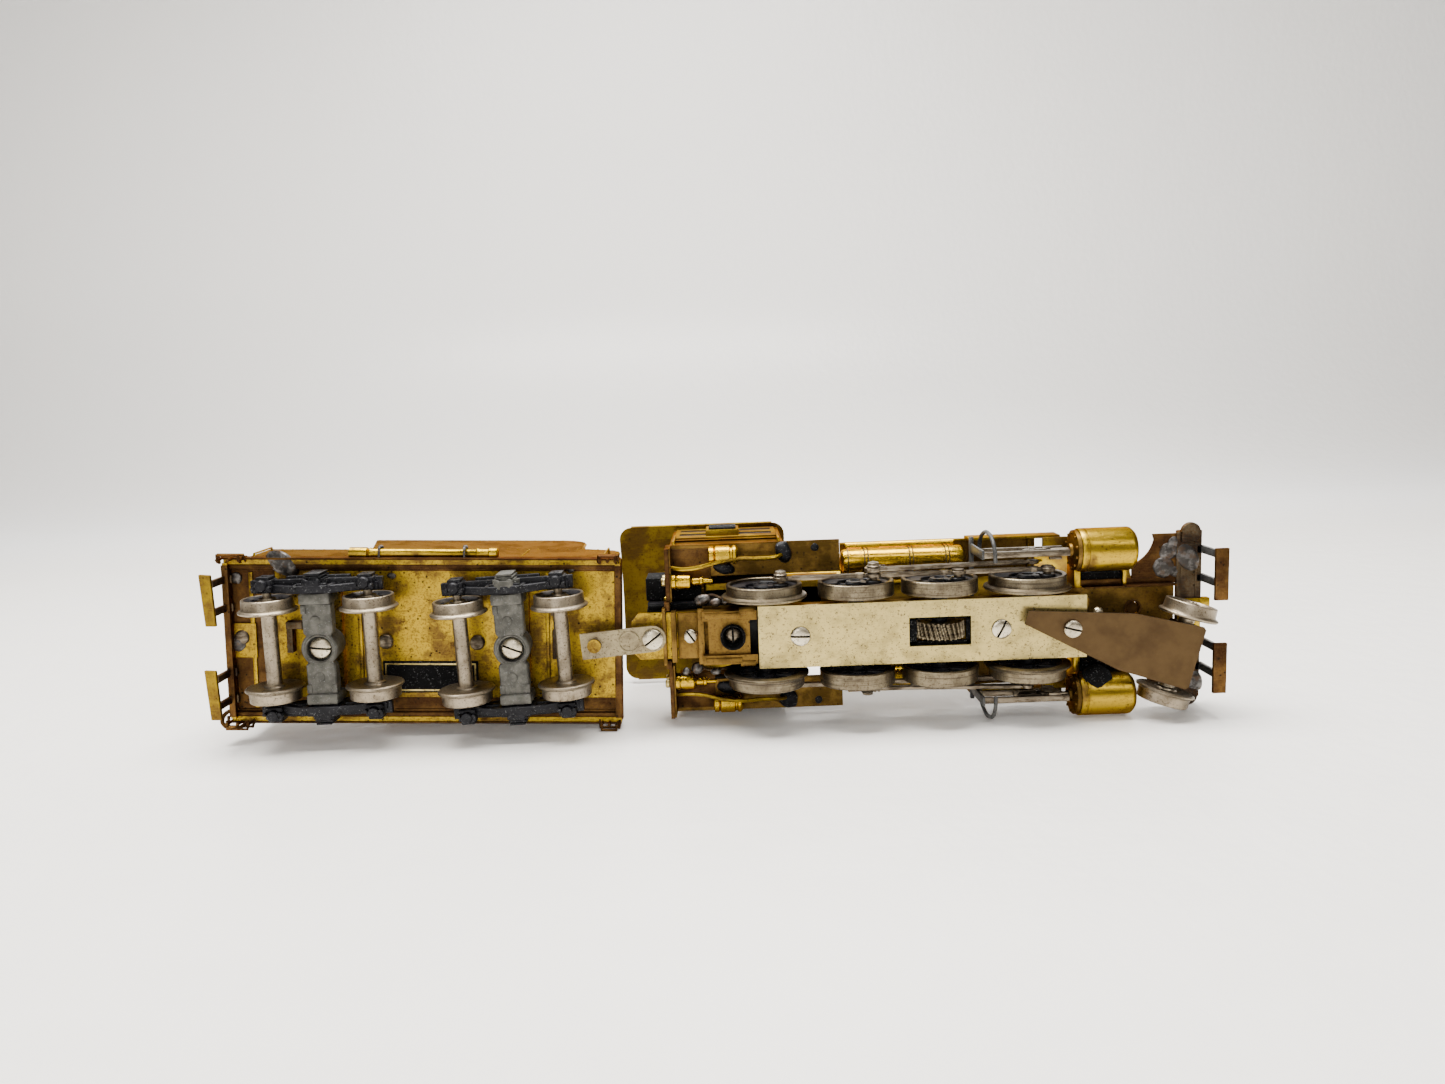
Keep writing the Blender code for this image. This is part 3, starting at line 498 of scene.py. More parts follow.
def sheet(outline, low, high, axis="Z", holes=(), edge=0.06):
    """A cut sheet: (y, z) points for axis X, (x, z) for Y, (x, y) for Z, with bevelled edges."""
    clear()
    curve = bpy.data.curves.new("sheet", "CURVE")
    curve.dimensions, curve.fill_mode = "2D", "BOTH"
    curve.extrude = (high - low) / 2 * MM
    for points in (outline, *holes):
        spline = curve.splines.new("POLY")
        spline.points.add(len(points) - 1)
        for point, (u, v) in zip(spline.points, points):
            point.co = (u * MM, v * MM, 0, 1)
        spline.use_cyclic_u = True
    obj = bpy.data.objects.new("sheet", curve)
    bpy.context.scene.collection.objects.link(obj)
    hold(obj)
    bpy.ops.object.convert(target="MESH")
    obj = bpy.context.object
    bpy.ops.object.mode_set(mode="EDIT")
    bpy.ops.mesh.select_all(action="SELECT")
    bpy.ops.mesh.remove_doubles(threshold=1e-6)
    bpy.ops.object.mode_set(mode="OBJECT")
    lift = Matrix.Translation((0, 0, (high + low) / 2 * MM * (-1 if axis == "Y" else 1)))
    turn = {
        "X": Matrix(((0, 0, 1, 0), (1, 0, 0, 0), (0, 1, 0, 0), (0, 0, 0, 1))),
        "Y": Matrix(((1, 0, 0, 0), (0, 0, -1, 0), (0, 1, 0, 0), (0, 0, 0, 1))),
        "Z": Matrix(),
    }[axis]
    obj.matrix_world = turn @ lift
    return bevelled(settle(obj), edge, 1)


def blob(at, size, seed=0, level=3):
    """A lump of solder: a ball pushed about at random."""
    clear()
    bpy.ops.mesh.primitive_ico_sphere_add(subdivisions=level, radius=MM)
    obj = bpy.context.object
    chance = random.Random(seed)
    bpy.ops.object.mode_set(mode="EDIT")
    bpy.ops.transform.vertex_random(offset=0.42 * MM, seed=seed)
    bpy.ops.mesh.vertices_smooth(factor=0.5, repeat=3)
    bpy.ops.object.mode_set(mode="OBJECT")
    turn = Matrix.Rotation(chance.uniform(0, 6.28), 4, "Z")
    obj.matrix_world = Matrix.Translation(Vector(at) * MM) @ Matrix.Diagonal((*size, 1)) @ turn
    return settle(obj)


def copied(obj, matrix):
    """A copy with its own mesh, moved by a matrix in millimetres."""
    twin = obj.copy()
    twin.data = obj.data.copy()
    bpy.context.scene.collection.objects.link(twin)
    shift = matrix.copy()
    shift.translation = matrix.translation * MM
    twin.matrix_world = shift
    return settle(twin)


def with_copies(part, matrices):
    """Copies at these places; the part itself is taken away."""
    made = [copied(part, matrix) for matrix in matrices]
    bpy.data.objects.remove(part, do_unlink=True)
    return made


def span(side, low, high):
    """The span low..high from the centre line, on this side of it."""
    return (low, high) if side > 0 else (-high, -low)


def blocks(*rows, side=1):
    """Blocks from rows of (x, y, z, edge), with y counted from the centre line on this side of it."""
    return [block(x, span(side, *y), z, edge) for x, y, z, edge in rows]


def lumps_of_solder(seed, *rows):
    """Lumps from rows of (place, size), each with the next seed."""
    return [blob(at, size, seed + i) for i, (at, size) in enumerate(rows)]


def both(x, y, z, edge=0.12):
    """A block on each side of the centre line."""
    return [block(x, span(s, *y), z, edge) for s in SIDES.values()]


def tilt(angle):
    """Turns a piece in the plane of the wheels, by radians from +X towards +Z."""
    return Matrix.Rotation(-angle, 4, "Y")


def piece(name, parts, finish, body="engine", place=None, replaces=()):
    """Joins the parts into one named piece, paints it, puts it in its place and hangs it on a body."""
    obj = joined(parts)
    obj.name = obj.data.name = name
    obj.matrix_world = PLACES[place or (body if body in PLACES else "engine")]
    settle(obj)
    bpy.ops.object.shade_smooth_by_angle(angle=SMOOTH_ANGLE)
    obj.data.materials.clear()
    obj.data.materials.append(MATERIALS[finish])
    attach(obj, body)
    if replaces:
        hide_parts(*replaces)
    return obj


def circle(centre, radius, steps=24, start=0.0, end=360.0):
    """Points on an arc, in degrees; a full circle leaves out its last point."""
    count = steps if end - start >= 360 else steps + 1
    angles = [math.radians(start + (end - start) * i / steps) for i in range(count)]
    return [(centre[0] + radius * math.cos(a), centre[1] + radius * math.sin(a)) for a in angles]


def screw_head(at, radius, height, slot_turn, s=-1):
    """A slotted, slightly domed head whose face looks down (-1) or up (+1)."""
    dome = [(radius, 0), (radius, s * height * 0.6), (radius * 0.86, s * height * 0.85)]
    head = turned(dome + [(radius * 0.5, s * height), (0.01, s * height * 1.03)], "Z", (0, 0, 0), 32)
    depth = sorted((s * height * 0.25, s * height * 2))
    groove = block((-radius * 1.2, radius * 1.2), (-SLOT_WIDTH / 2, SLOT_WIDTH / 2), depth, 0)
    cut(head, groove)
    turn = Matrix.Translation(at) @ Matrix.Rotation(math.radians(slot_turn), 4, "Z")
    return with_copies(head, [turn])[0]


def painted_slot_shade(name, screws, body, place=None):
    """Black strips low in the slots, as painted shade: (at, radius, height, slot_turn) for each screw that
    looks down.
    """
    shade_strips = []
    for at, radius, height, slot_turn in screws:
        # Painted shade: a black strip near the bottom of each slot stands in for the slot's shadow.
        shade_strip = block((-radius * 0.98, radius * 0.98), (-0.19, 0.19), (-height * 0.34, -height * 0.2), 0)
        turn = Matrix.Translation(at) @ Matrix.Rotation(math.radians(slot_turn), 4, "Z")
        shade_strips += with_copies(shade_strip, [turn])
    piece(name, shade_strips, "matte_black_and_shade", body, place=place)


# Settings a user would change


def colour(name, description, default):
    return bpy.props.FloatVectorProperty(
        name=name, description=description, default=default, subtype="COLOR", min=0, max=1
    )


def length(name, description, default):
    return bpy.props.FloatProperty(name=name, description=description, default=default * MM, unit="LENGTH")


def power(name, description, default):
    return bpy.props.FloatProperty(name=name, description=description, default=default, min=0)


class LocomotiveColours(bpy.types.PropertyGroup):
    brass: colour("Brass", "Clean brass", (0.40, 0.26, 0.018))
    aged_brass: colour("Aged brass", "Tarnished brass", (0.14, 0.082, 0.019))
    nickel: colour("Nickel silver", "Keeper plate and drawbar", (0.55, 0.435, 0.165))


class LocomotiveSizes(bpy.types.PropertyGroup):
    spokes: bpy.props.IntProperty(
        name="Spokes", description="Spokes in each driver", default=12, min=8, max=20
    )
    spoke_width: length("Spoke width", "Width of a spoke at the hub", 0.62)
    rivet: length("Rivet radius", "Radius of a rivet head", 0.22)
    rivet_pitch: length("Rivet pitch", "Distance between rivets", 2.1)
    handrail: length("Handrail radius", "Radius of the handrail wire", 0.24)
    sides: bpy.props.IntProperty(
        name="Turned sides", description="Facets round a turned piece", default=64, min=16
    )


class StudioSettings(bpy.types.PropertyGroup):
    floor: colour("Floor", "Colour of the table", (0.93, 0.91, 0.875))
    wall: colour("Wall", "Colour of the backdrop", (0.93, 0.915, 0.89))
    key: power("Key light", "Power of the key light", 12.2)
    fill: power("Fill light", "Power of the fill light", 1.3)
    room: power("Room light", "Strength of the room's light", 0.56)


# The pieces


class LOCO_OT_metals(bpy.types.Operator):
    """Makes the metals and paints, and gives them to the solids that stay as they are"""

    bl_idname = "loco.metals"
    bl_label = "Metals and paints"

    def execute(self, context):
        MATERIALS.update(make_materials(context.scene.loco_colours))
        carried = {
            "floor_brass": ("tender_floor", "drawbar_bracket"),
            "aged_floor": ("cab", "main_frame", "tender_tank", "running_board_left", "running_board_right"),
            "sheet_brass": ("cab_roof",),
            "nickel": ("keeper_plate",),
            "dull_nickel": ("drawbar",),
            "bronze": ("pilot_truck_arm",),
            "steel": ("motor_armature",),
            "motor_black": ("motor_frame",),
        }
        for node in frame["nodes"].values():
            node.data.materials.clear()
            node.data.materials.append(MATERIALS["cylinder_brass"])
        for finish, names in carried.items():
            for name in names:
                frame["nodes"][name].material_slots[0].material = MATERIALS[finish]
        return {"FINISHED"}


class LOCO_OT_drivers(bpy.types.Operator):
    """Spoked driving wheels with tyres, weights and crank pins"""

    bl_idname = "loco.drivers"
    bl_label = "Driving wheels"

    def execute(self, context):
        sizes = context.scene.loco_sizes
        flanged = [
            (6.48, 9.92), (6.62, 10.05), (7.16, 10.05), (7.3, 9.9), (7.34, 8.5), (7.44, 8.16), (7.75, 8.0),
            (8.18, 7.84), (8.3, 7.62), (8.24, 7.36), (7.95, 7.2), (6.52, 7.2),
        ]
        plain = [
            (6.48, 9.92), (6.62, 10.05), (7.18, 10.05), (7.3, 9.92), (7.3, 7.34), (7.18, 7.2), (6.52, 7.2)
        ]
        for side, s in SIDES.items():
            angle = CRANKS[side]
            centre = self.centre(s, angle, sizes)
            for number, x in enumerate(DRIVER_X, 1):
                at = Matrix.Translation((x, 0, AXLE_Z))
                profile = flanged if number in (1, 4) else plain
                tyre = ring([(r, s * y) for r, y in profile], "Y", (x, 0, AXLE_Z), sizes.sides)
                piece(
                    f"tyre_{number}_{side}", [tyre], "tyre", f"driver_{number}",
                    replaces=[f"driver_{number}_tyre_{side}"],
                )
                parts = [copied(centre, at)]
                if s > 0:
                    parts.append(bar_between((x, -7.7, AXLE_Z), (x, 7.7, AXLE_Z), 1.5, 24))
                name = f"wheel_centre_{number}_{side}"
                stands_for = [f"driver_{number}_wheelset"] if s > 0 else []
                piece(name, parts, "black", f"driver_{number}", replaces=stands_for)
                self.crank_pin(number, x, s, side, angle)
            bpy.data.objects.remove(centre, do_unlink=True)
        return {"FINISHED"}

    def centre(self, s, angle, sizes):
        """One wheel centre about its own axle line."""
        half = sizes.spoke_width / MM / 2
        rim = ring(
            [(5.5, s * 9.25), (5.68, s * 9.45), (6.46, s * 9.45), (6.46, s * 7.55), (5.5, s * 7.7)], "Y"
        )
        hub = turned(
            [
                (1.6, s * 7.45), (2.0, s * 7.7), (2.0, s * 9.5), (1.75, s * 9.85), (1.1, s * 9.95),
                (0.9, s * 9.6), (0.35, s * 9.55),
            ],
            "Y", sides=36,
        )
        spoke = block((1.7, 5.75), span(s, 7.95, 9.15), (-half, half), 0)
        for vertex in spoke.data.vertices:
            if vertex.co.x > 4 * MM:
                vertex.co.z *= 0.72
                vertex.co.y += (s * 8.55 * MM - vertex.co.y) * 0.15
        bevelled(spoke, 0.14, 2)
        turns = [angle + WHOLE_TURN * i / sizes.spokes for i in range(sizes.spokes)]
        spokes = with_copies(spoke, [tilt(turn) for turn in turns])
        deg = math.degrees(angle)
        outer = circle((0, 0), 5.62, 16, deg + 132, deg + 228)
        inner = circle((0, 0), 3.55, 10, deg + 228, deg + 132)
        weight = sheet(outer + inner, *span(s, 7.7, 9.62), "Y", edge=0.1)
        boss = turned(
            [(1.35, s * 7.8), (1.5, s * 8.1), (1.5, s * 10.1), (1.3, s * 10.3)], "Y", (CRANK_R, 0, 0), 28
        )
        web = block((0.6, CRANK_R + 0.4), span(s, 8.0, 9.85), (-1.05, 1.05), 0.25)
        crank = with_copies(boss, [tilt(angle)]) + with_copies(web, [tilt(angle)])
        return joined([rim, hub, weight, *spokes, *crank])

    def crank_pin(self, number, x, s, side, angle):
        """The pin with its washer and nut; the second axle's is the longest."""
        reach = {1: 12.3, 2: 13.3}.get(number, 11.72)
        px, pz = x + CRANK_R * math.cos(angle), AXLE_Z + CRANK_R * math.sin(angle)
        shank = turned([(0.78, s * 10.2), (0.78, s * (reach - 0.1))], "Y", (px, 0, pz), 20)
        if number in (1, 2):
            washer = turned(
                [(1.3, s * (reach - 0.45)), (1.35, s * (reach - 0.3)), (1.0, s * (reach - 0.05))],
                "Y", (px, 0, pz), 28,
            )
            nut = turned(
                [(1.16, s * (reach - 0.1)), (1.16, s * (reach + 0.3)), (0.8, s * (reach + 0.42))],
                "Y", (px, 0, pz), 6, 0.06,
            )
            end = turned(
                [(0.55, s * reach), (0.55, s * (reach + 0.5)), (0.3, s * (reach + 0.56))],
                "Y", (px, 0, pz), 16,
            )
            parts = [shank, washer, nut, end]
        else:
            head = turned(
                [(1.15, s * (reach - 0.02)), (1.15, s * (reach + 0.1)), (0.9, s * (reach + 0.2))],
                "Y", (px, 0, pz), 24,
            )
            parts = [shank, head]
        piece(f"crank_pin_{number}_{side}", parts, "steel", f"driver_{number}")


class LOCO_OT_small_wheels(bpy.types.Operator):
    """Turned wheelsets of the pilot truck and of the tender's two trucks"""

    bl_idname = "loco.small_wheels"
    bl_label = "Small wheels"

    def execute(self, context):
        sides = context.scene.loco_sizes.sides
        x = joint("pilot_axle_spin")["pos_m"]
        pivot = joint("pilot_truck_swing")["pos_m"]
        arm = math.hypot(x[0] - pivot[0], x[1] - pivot[1]) / MM
        piece(
            "pilot_wheels", self.wheelset(arm, 10.2, sides), "small_wheel", "pilot_axle", place="pilot_truck",
            replaces=["pilot_wheelset"],
        )
        for end in ("front", "rear"):
            for letter, way in (("a", 1), ("b", -1)):
                parts = self.wheelset(way * TRUCK_HALF_BASE, 12.4, sides)
                piece(
                    f"tender_wheels_{end}_{letter}", parts, "small_wheel", f"{end}_truck_axle_{letter}",
                    place=f"{end}_truck",
                    replaces=[f"tender_wheelset_{end}_{letter}"],
                )
                piece(
                    f"tender_wheel_faces_{end}_{letter}",
                    self.faces(way * TRUCK_HALF_BASE), "black", f"{end}_truck_axle_{letter}",
                    place=f"{end}_truck",
                )
        return {"FINISHED"}

    def wheelset(self, x, journal, sides):
        half = [
            (0.3, journal), (0.8, journal - 0.35), (0.84, 10.0), (1.5, 9.98), (1.6, 9.7), (2.2, 9.35),
            (3.6, 9.35), (4.15, 9.75), (4.3, 9.95), (4.62, 10.0), (4.75, 9.88), (4.82, 8.3), (4.95, 8.02),
            (5.3, 7.88), (5.48, 7.68), (5.42, 7.4), (5.1, 7.22), (3.4, 7.45), (2.1, 7.3), (1.95, 7.0),
            (1.5, 6.8), (1.42, 6.2),
        ]
        profile = half + [(r, -y) for r, y in reversed(half)]
        return [turned(profile, "Y", (x, 0, SMALL_AXLE_Z), sides)]

    def faces(self, x):
        """Blackened webs with their openings, one on each wheel."""
        parts = []
        for s in SIDES.values():
            web = [
                (1.75, s * 9.3), (2.3, s * 9.52), (3.6, s * 9.55), (4.2, s * 9.92), (4.2, s * 9.2),
                (1.75, s * 9.2),
            ]
            parts.append(ring(web, "Y", (x, 0, SMALL_AXLE_Z), 40))
            bump = turned([(0.42, s * 9.5), (0.3, s * 9.72)], "Y", (2.95, 0, 0), 12)
            at = Matrix.Translation((x, 0, SMALL_AXLE_Z))
            parts += with_copies(bump, [at @ tilt(WHOLE_TURN * i / 6) for i in range(6)])
        return parts


class LOCO_OT_rods(bpy.types.Operator):
    """Side rods, fluted main rods, crossheads and slide bars"""

    bl_idname = "loco.rods"
    bl_label = "Rods and crossheads"

    def execute(self, context):
        for side, s in SIDES.items():
            angle = CRANKS[side]
            px, pz = DRIVER_X[1] + CRANK_R * math.cos(angle), AXLE_Z + CRANK_R * math.sin(angle)
            pins = [px + x - DRIVER_X[1] for x in DRIVER_X]
            self.side_rod(side, s, pins, pz)
            self.main_rod(side, s, px, pz)
            self.crosshead(side, s, px, pz)
        self.yoke()
        return {"FINISHED"}

    def side_rod(self, side, s, pins, z):
        near = span(s, 10.8, 11.5)
        parts = []
        for x in pins:
            eye = circle((x, z), 1.52, 28)
            parts += [
                sheet(eye, *near, "Y", [circle((x, z), 0.88, 20)], 0.08),
                ring(
                    [(0.9, s * 11.5), (1.2, s * 11.5), (1.15, s * 11.68), (0.9, s * 11.68)],
                    "Y", (x, 0, z), 24,
                ),
            ]
        for a, b in zip(pins, pins[1:]):
            parts += [
                block((a + 1.2, b - 1.2), near, (z - 0.72, z + 0.72), 0.1),
                block((a + 2.2, b - 2.2), span(s, 11.45, 11.6), (z - 0.72, z - 0.42), 0.05),
                block((a + 2.2, b - 2.2), span(s, 11.45, 11.6), (z + 0.42, z + 0.72), 0.05),
            ]
            knuckle = b - 2.6
            parts += [
                turned([(1.02, s * 10.8), (1.02, s * 11.62), (0.8, s * 11.72)], "Y", (knuckle, 0, z), 20),
                bar_between((a + 1.9, s * 11.1, z + 0.6), (a + 1.9, s * 11.1, z + 1.25), 0.3, 10),
            ]
        piece(f"coupling_rod_{side}", parts, "steel", f"{side}_side_rod", replaces=[f"side_rod_{side}"])

    def main_rod(self, side, s, px, pz):
        length = MAIN_ROD_LENGTH
        lift = math.asin((AXLE_Z - pz) / length)
        turn = Matrix.Translation((px, 0, pz)) @ tilt(lift)
        big = sheet(circle((0, 0), 1.68, 28), *span(s, 11.95, 12.65), "Y", [circle((0, 0), 0.88, 20)], 0.1)
        strap = block((-1.5, 2.6), span(s, 12.0, 12.7), (-1.35, 1.35), 0.3)
        hole = turned([(0.9, s * 11.5), (0.9, s * 13.2)], "Y", sides=20)
        cut(strap, hole)
        web = block((1.5, length - 0.8), span(s, 12.12, 12.5), (-0.6, 0.6), 0.05)
        lips = [
            block((2.2, length - 1.4), span(s, 11.95, 12.66), z, 0.07)
            for z in ((-0.8, -0.42), (0.42, 0.8))
        ]
        small = turned([(1.2, s * 11.95), (1.2, s * 12.5), (1.0, s * 12.65)], "Y", (length, 0, 0), 28)
        bolts = [
            turned([(0.32, s * 12.6), (0.32, s * 12.92)], "Y", (x, 0, z), 6)
            for x in (1.5, 2.2)
            for z in (-0.85, 0.85)
        ]
        parts = [
            made
            for part in (big, strap, web, *lips, small, *bolts)
            for made in with_copies(part, [turn])
        ]
        piece(f"connecting_rod_{side}", parts, "steel", f"{side}_main_rod", replaces=[f"main_rod_{side}"])

    def crosshead(self, side, s, px, pz):
        wrist = px + math.sqrt(MAIN_ROD_LENGTH**2 - (pz - AXLE_Z) ** 2)
        y = s * CYLINDER_Y
        parts = [
            block((wrist - 2.3, wrist + 2.3), (y - 0.75, y + 0.75), (AXLE_Z - 1.8, AXLE_Z - 1.0), 0.12),
            block((wrist - 2.3, wrist + 2.3), (y - 0.75, y + 0.75), (AXLE_Z + 1.0, AXLE_Z + 1.8), 0.12),
            block((wrist - 1.4, wrist + 2.0), (y - 0.55, y + 0.55), (AXLE_Z - 1.4, AXLE_Z + 1.4), 0.2),
            bar_between((wrist + 1.5, y, AXLE_Z), (wrist + 16.4, y, AXLE_Z), 0.58, 20),
            turned([(0.95, 0), (0.95, 1.2), (0.7, 1.6)], "X", (wrist + 1.8, y, AXLE_Z), 20),
            turned(
                [
                    (0.62, s * (CYLINDER_Y - 0.5)), (0.62, s * (CYLINDER_Y + 0.85)),
                    (0.3, s * (CYLINDER_Y + 0.95)),
                ],
                "Y", (wrist, 0, AXLE_Z), 6,
            ),
        ]
        name = f"crosshead_and_piston_{side}"
        piece(name, parts, "steel", f"{side}_crosshead", replaces=[f"crosshead_{side}"])

    def yoke(self):
        parts, hoops = [], [block((41.3, 42.1), (-16.5, 16.5), (15.15, 16.1), 0.12)]
        for s in SIDES.values():
            hoops.append(block((41.4, 41.9), span(s, 13.4, 15.2), (5.3, 15.5), 0.12))
            for z in (5.5, 10.35):
                parts += blocks(
                    ((41.6, 58.2), (13.6, 14.8), (z, z + 0.72), 0.1),
                    ((54.2, 56.6), (13.0, 13.5), (z - 0.2, z + 0.6), 0.08),
                    side=s,
                )
                parts += [
                    turned([(0.4, -0.1), (0.4, 0.82), (0.25, 0.86)], "Z", (x, s * 14.2, z), 6)
                    for x in (42.6, 57.4)
                ]
            reach = [
                (13.4, 14.6), (16.2, 13.9), (17.9, 11.2), (18.1, 8.2), (17.0, 5.2), (14.9, 3.9), (13.0, 4.0)
            ]
            hoops.append(wire([(43.0 + 0.10 * i, s * y, z) for i, (y, z) in enumerate(reach)], 0.4))
        piece("slide_bars_and_yoke", parts, "steel", replaces=["guide_yoke"])
        piece("yoke_hoops", hoops, "iron")


class LOCO_OT_cylinders(bpy.types.Operator):
    """Turned cylinders with covers, chests and the saddle"""

    bl_idname = "loco.cylinders"
    bl_label = "Cylinders"

    def execute(self, context):
        sides = context.scene.loco_sizes.sides
        for side, s in SIDES.items():
            at = (0, s * CYLINDER_Y, AXLE_Z)
            barrel = turned(
                [
                    (3.6, 60.25), (4.12, 60.3), (4.2, 60.45), (4.2, 61.2), (4.08, 61.3), (4.08, 61.5),
                    (4.2, 61.6), (4.2, 69.9), (4.12, 70.25), (3.5, 70.9), (2.7, 71.2), (2.5, 71.05),
                    (1.2, 71.0), (1.0, 71.2), (0.4, 71.2),
                ],
                "X", at, sides,
            )
            if s > 0:
                self.corrode(barrel)
            piece(f"cylinder_barrel_{side}", [barrel], "cylinder_brass", replaces=[f"cylinder_{side}"])
            cover = ring(
                [
                    (0.75, 58.7), (1.3, 58.7), (1.4, 59.2), (3.1, 59.3), (3.9, 59.5), (3.95, 60.2),
                    (0.75, 60.2),
                ],
                "X", at, sides,
            )
            studs = [
                turned(
                    [(0.26, 59.1), (0.26, 59.75)], "X",
                    (0, at[1] + 3.35 * math.cos(a), AXLE_Z + 3.35 * math.sin(a)),
                    6,
                )
                for a in (WHOLE_TURN * i / 10 for i in range(10))
            ]
            piece(f"cylinder_back_cover_{side}", [cover, *studs], "aged_floor")
            chest = blocks(
                ((60.8, 70.6), (10.9, 16.1), (11.2, 16.3), 0.35),
                ((61.3, 70.1), (11.5, 15.5), (16.2, 16.9), 0.2),
                ((60.6, 61.8), (6.3, 12.2), (10.6, 15.2), 0.12),
                ((70.3, 71.0), (6.3, 12.2), (11.2, 15.2), 0.12),
                ((61.2, 70.3), (0.3, 6.0), (12.7, 19.6), 0.15),
                side=s,
            )
            bolts = [
                turned([(0.3, 16.8), (0.3, 17.2), (0.2, 17.28)], "Z", (x, s * y, 0), 6)
                for y in (12.1, 14.9)
                for x in (61.9, 64.0, 66.2, 68.4, 69.5)
            ]
            piece(f"steam_chest_{side}", chest + bolts, "cylinder_brass")
            # Painted shade: a black slab at the bottom of the gap between chest and saddle stands in for its
            # shadow.
            recess_shade = block((61.7, 70.4), span(s, 6.2, 11.2), (12.7, 13.6), 0.1)
            piece(f"chest_recess_shade_{side}", [recess_shade], "matte_black_and_shade")
        return {"FINISHED"}

    def corrode(self, barrel):
        """Eats a ragged hole into the inner side of this barrel, with a black lump inside as painted shade.
        """
        for seed, (x, y, z, size) in enumerate(
            ((65.2, 10.3, 6.6, 1.7), (63.6, 10.6, 7.2, 1.3), (68.4, 10.6, 6.2, 0.5))
        ):
            cut(barrel, blob((x, y, z), (size, size * 0.8, size), seed, 2))
        # Painted shade: a black lump behind the hole stands in for the shadow inside the barrel.
        hollow_shade = blob((63.8, 11.6, 7.3), (4.4, 2.0, 2.6), 5, 3)
        piece("cylinder_hollow_shade", [hollow_shade], "matte_black_and_shade")


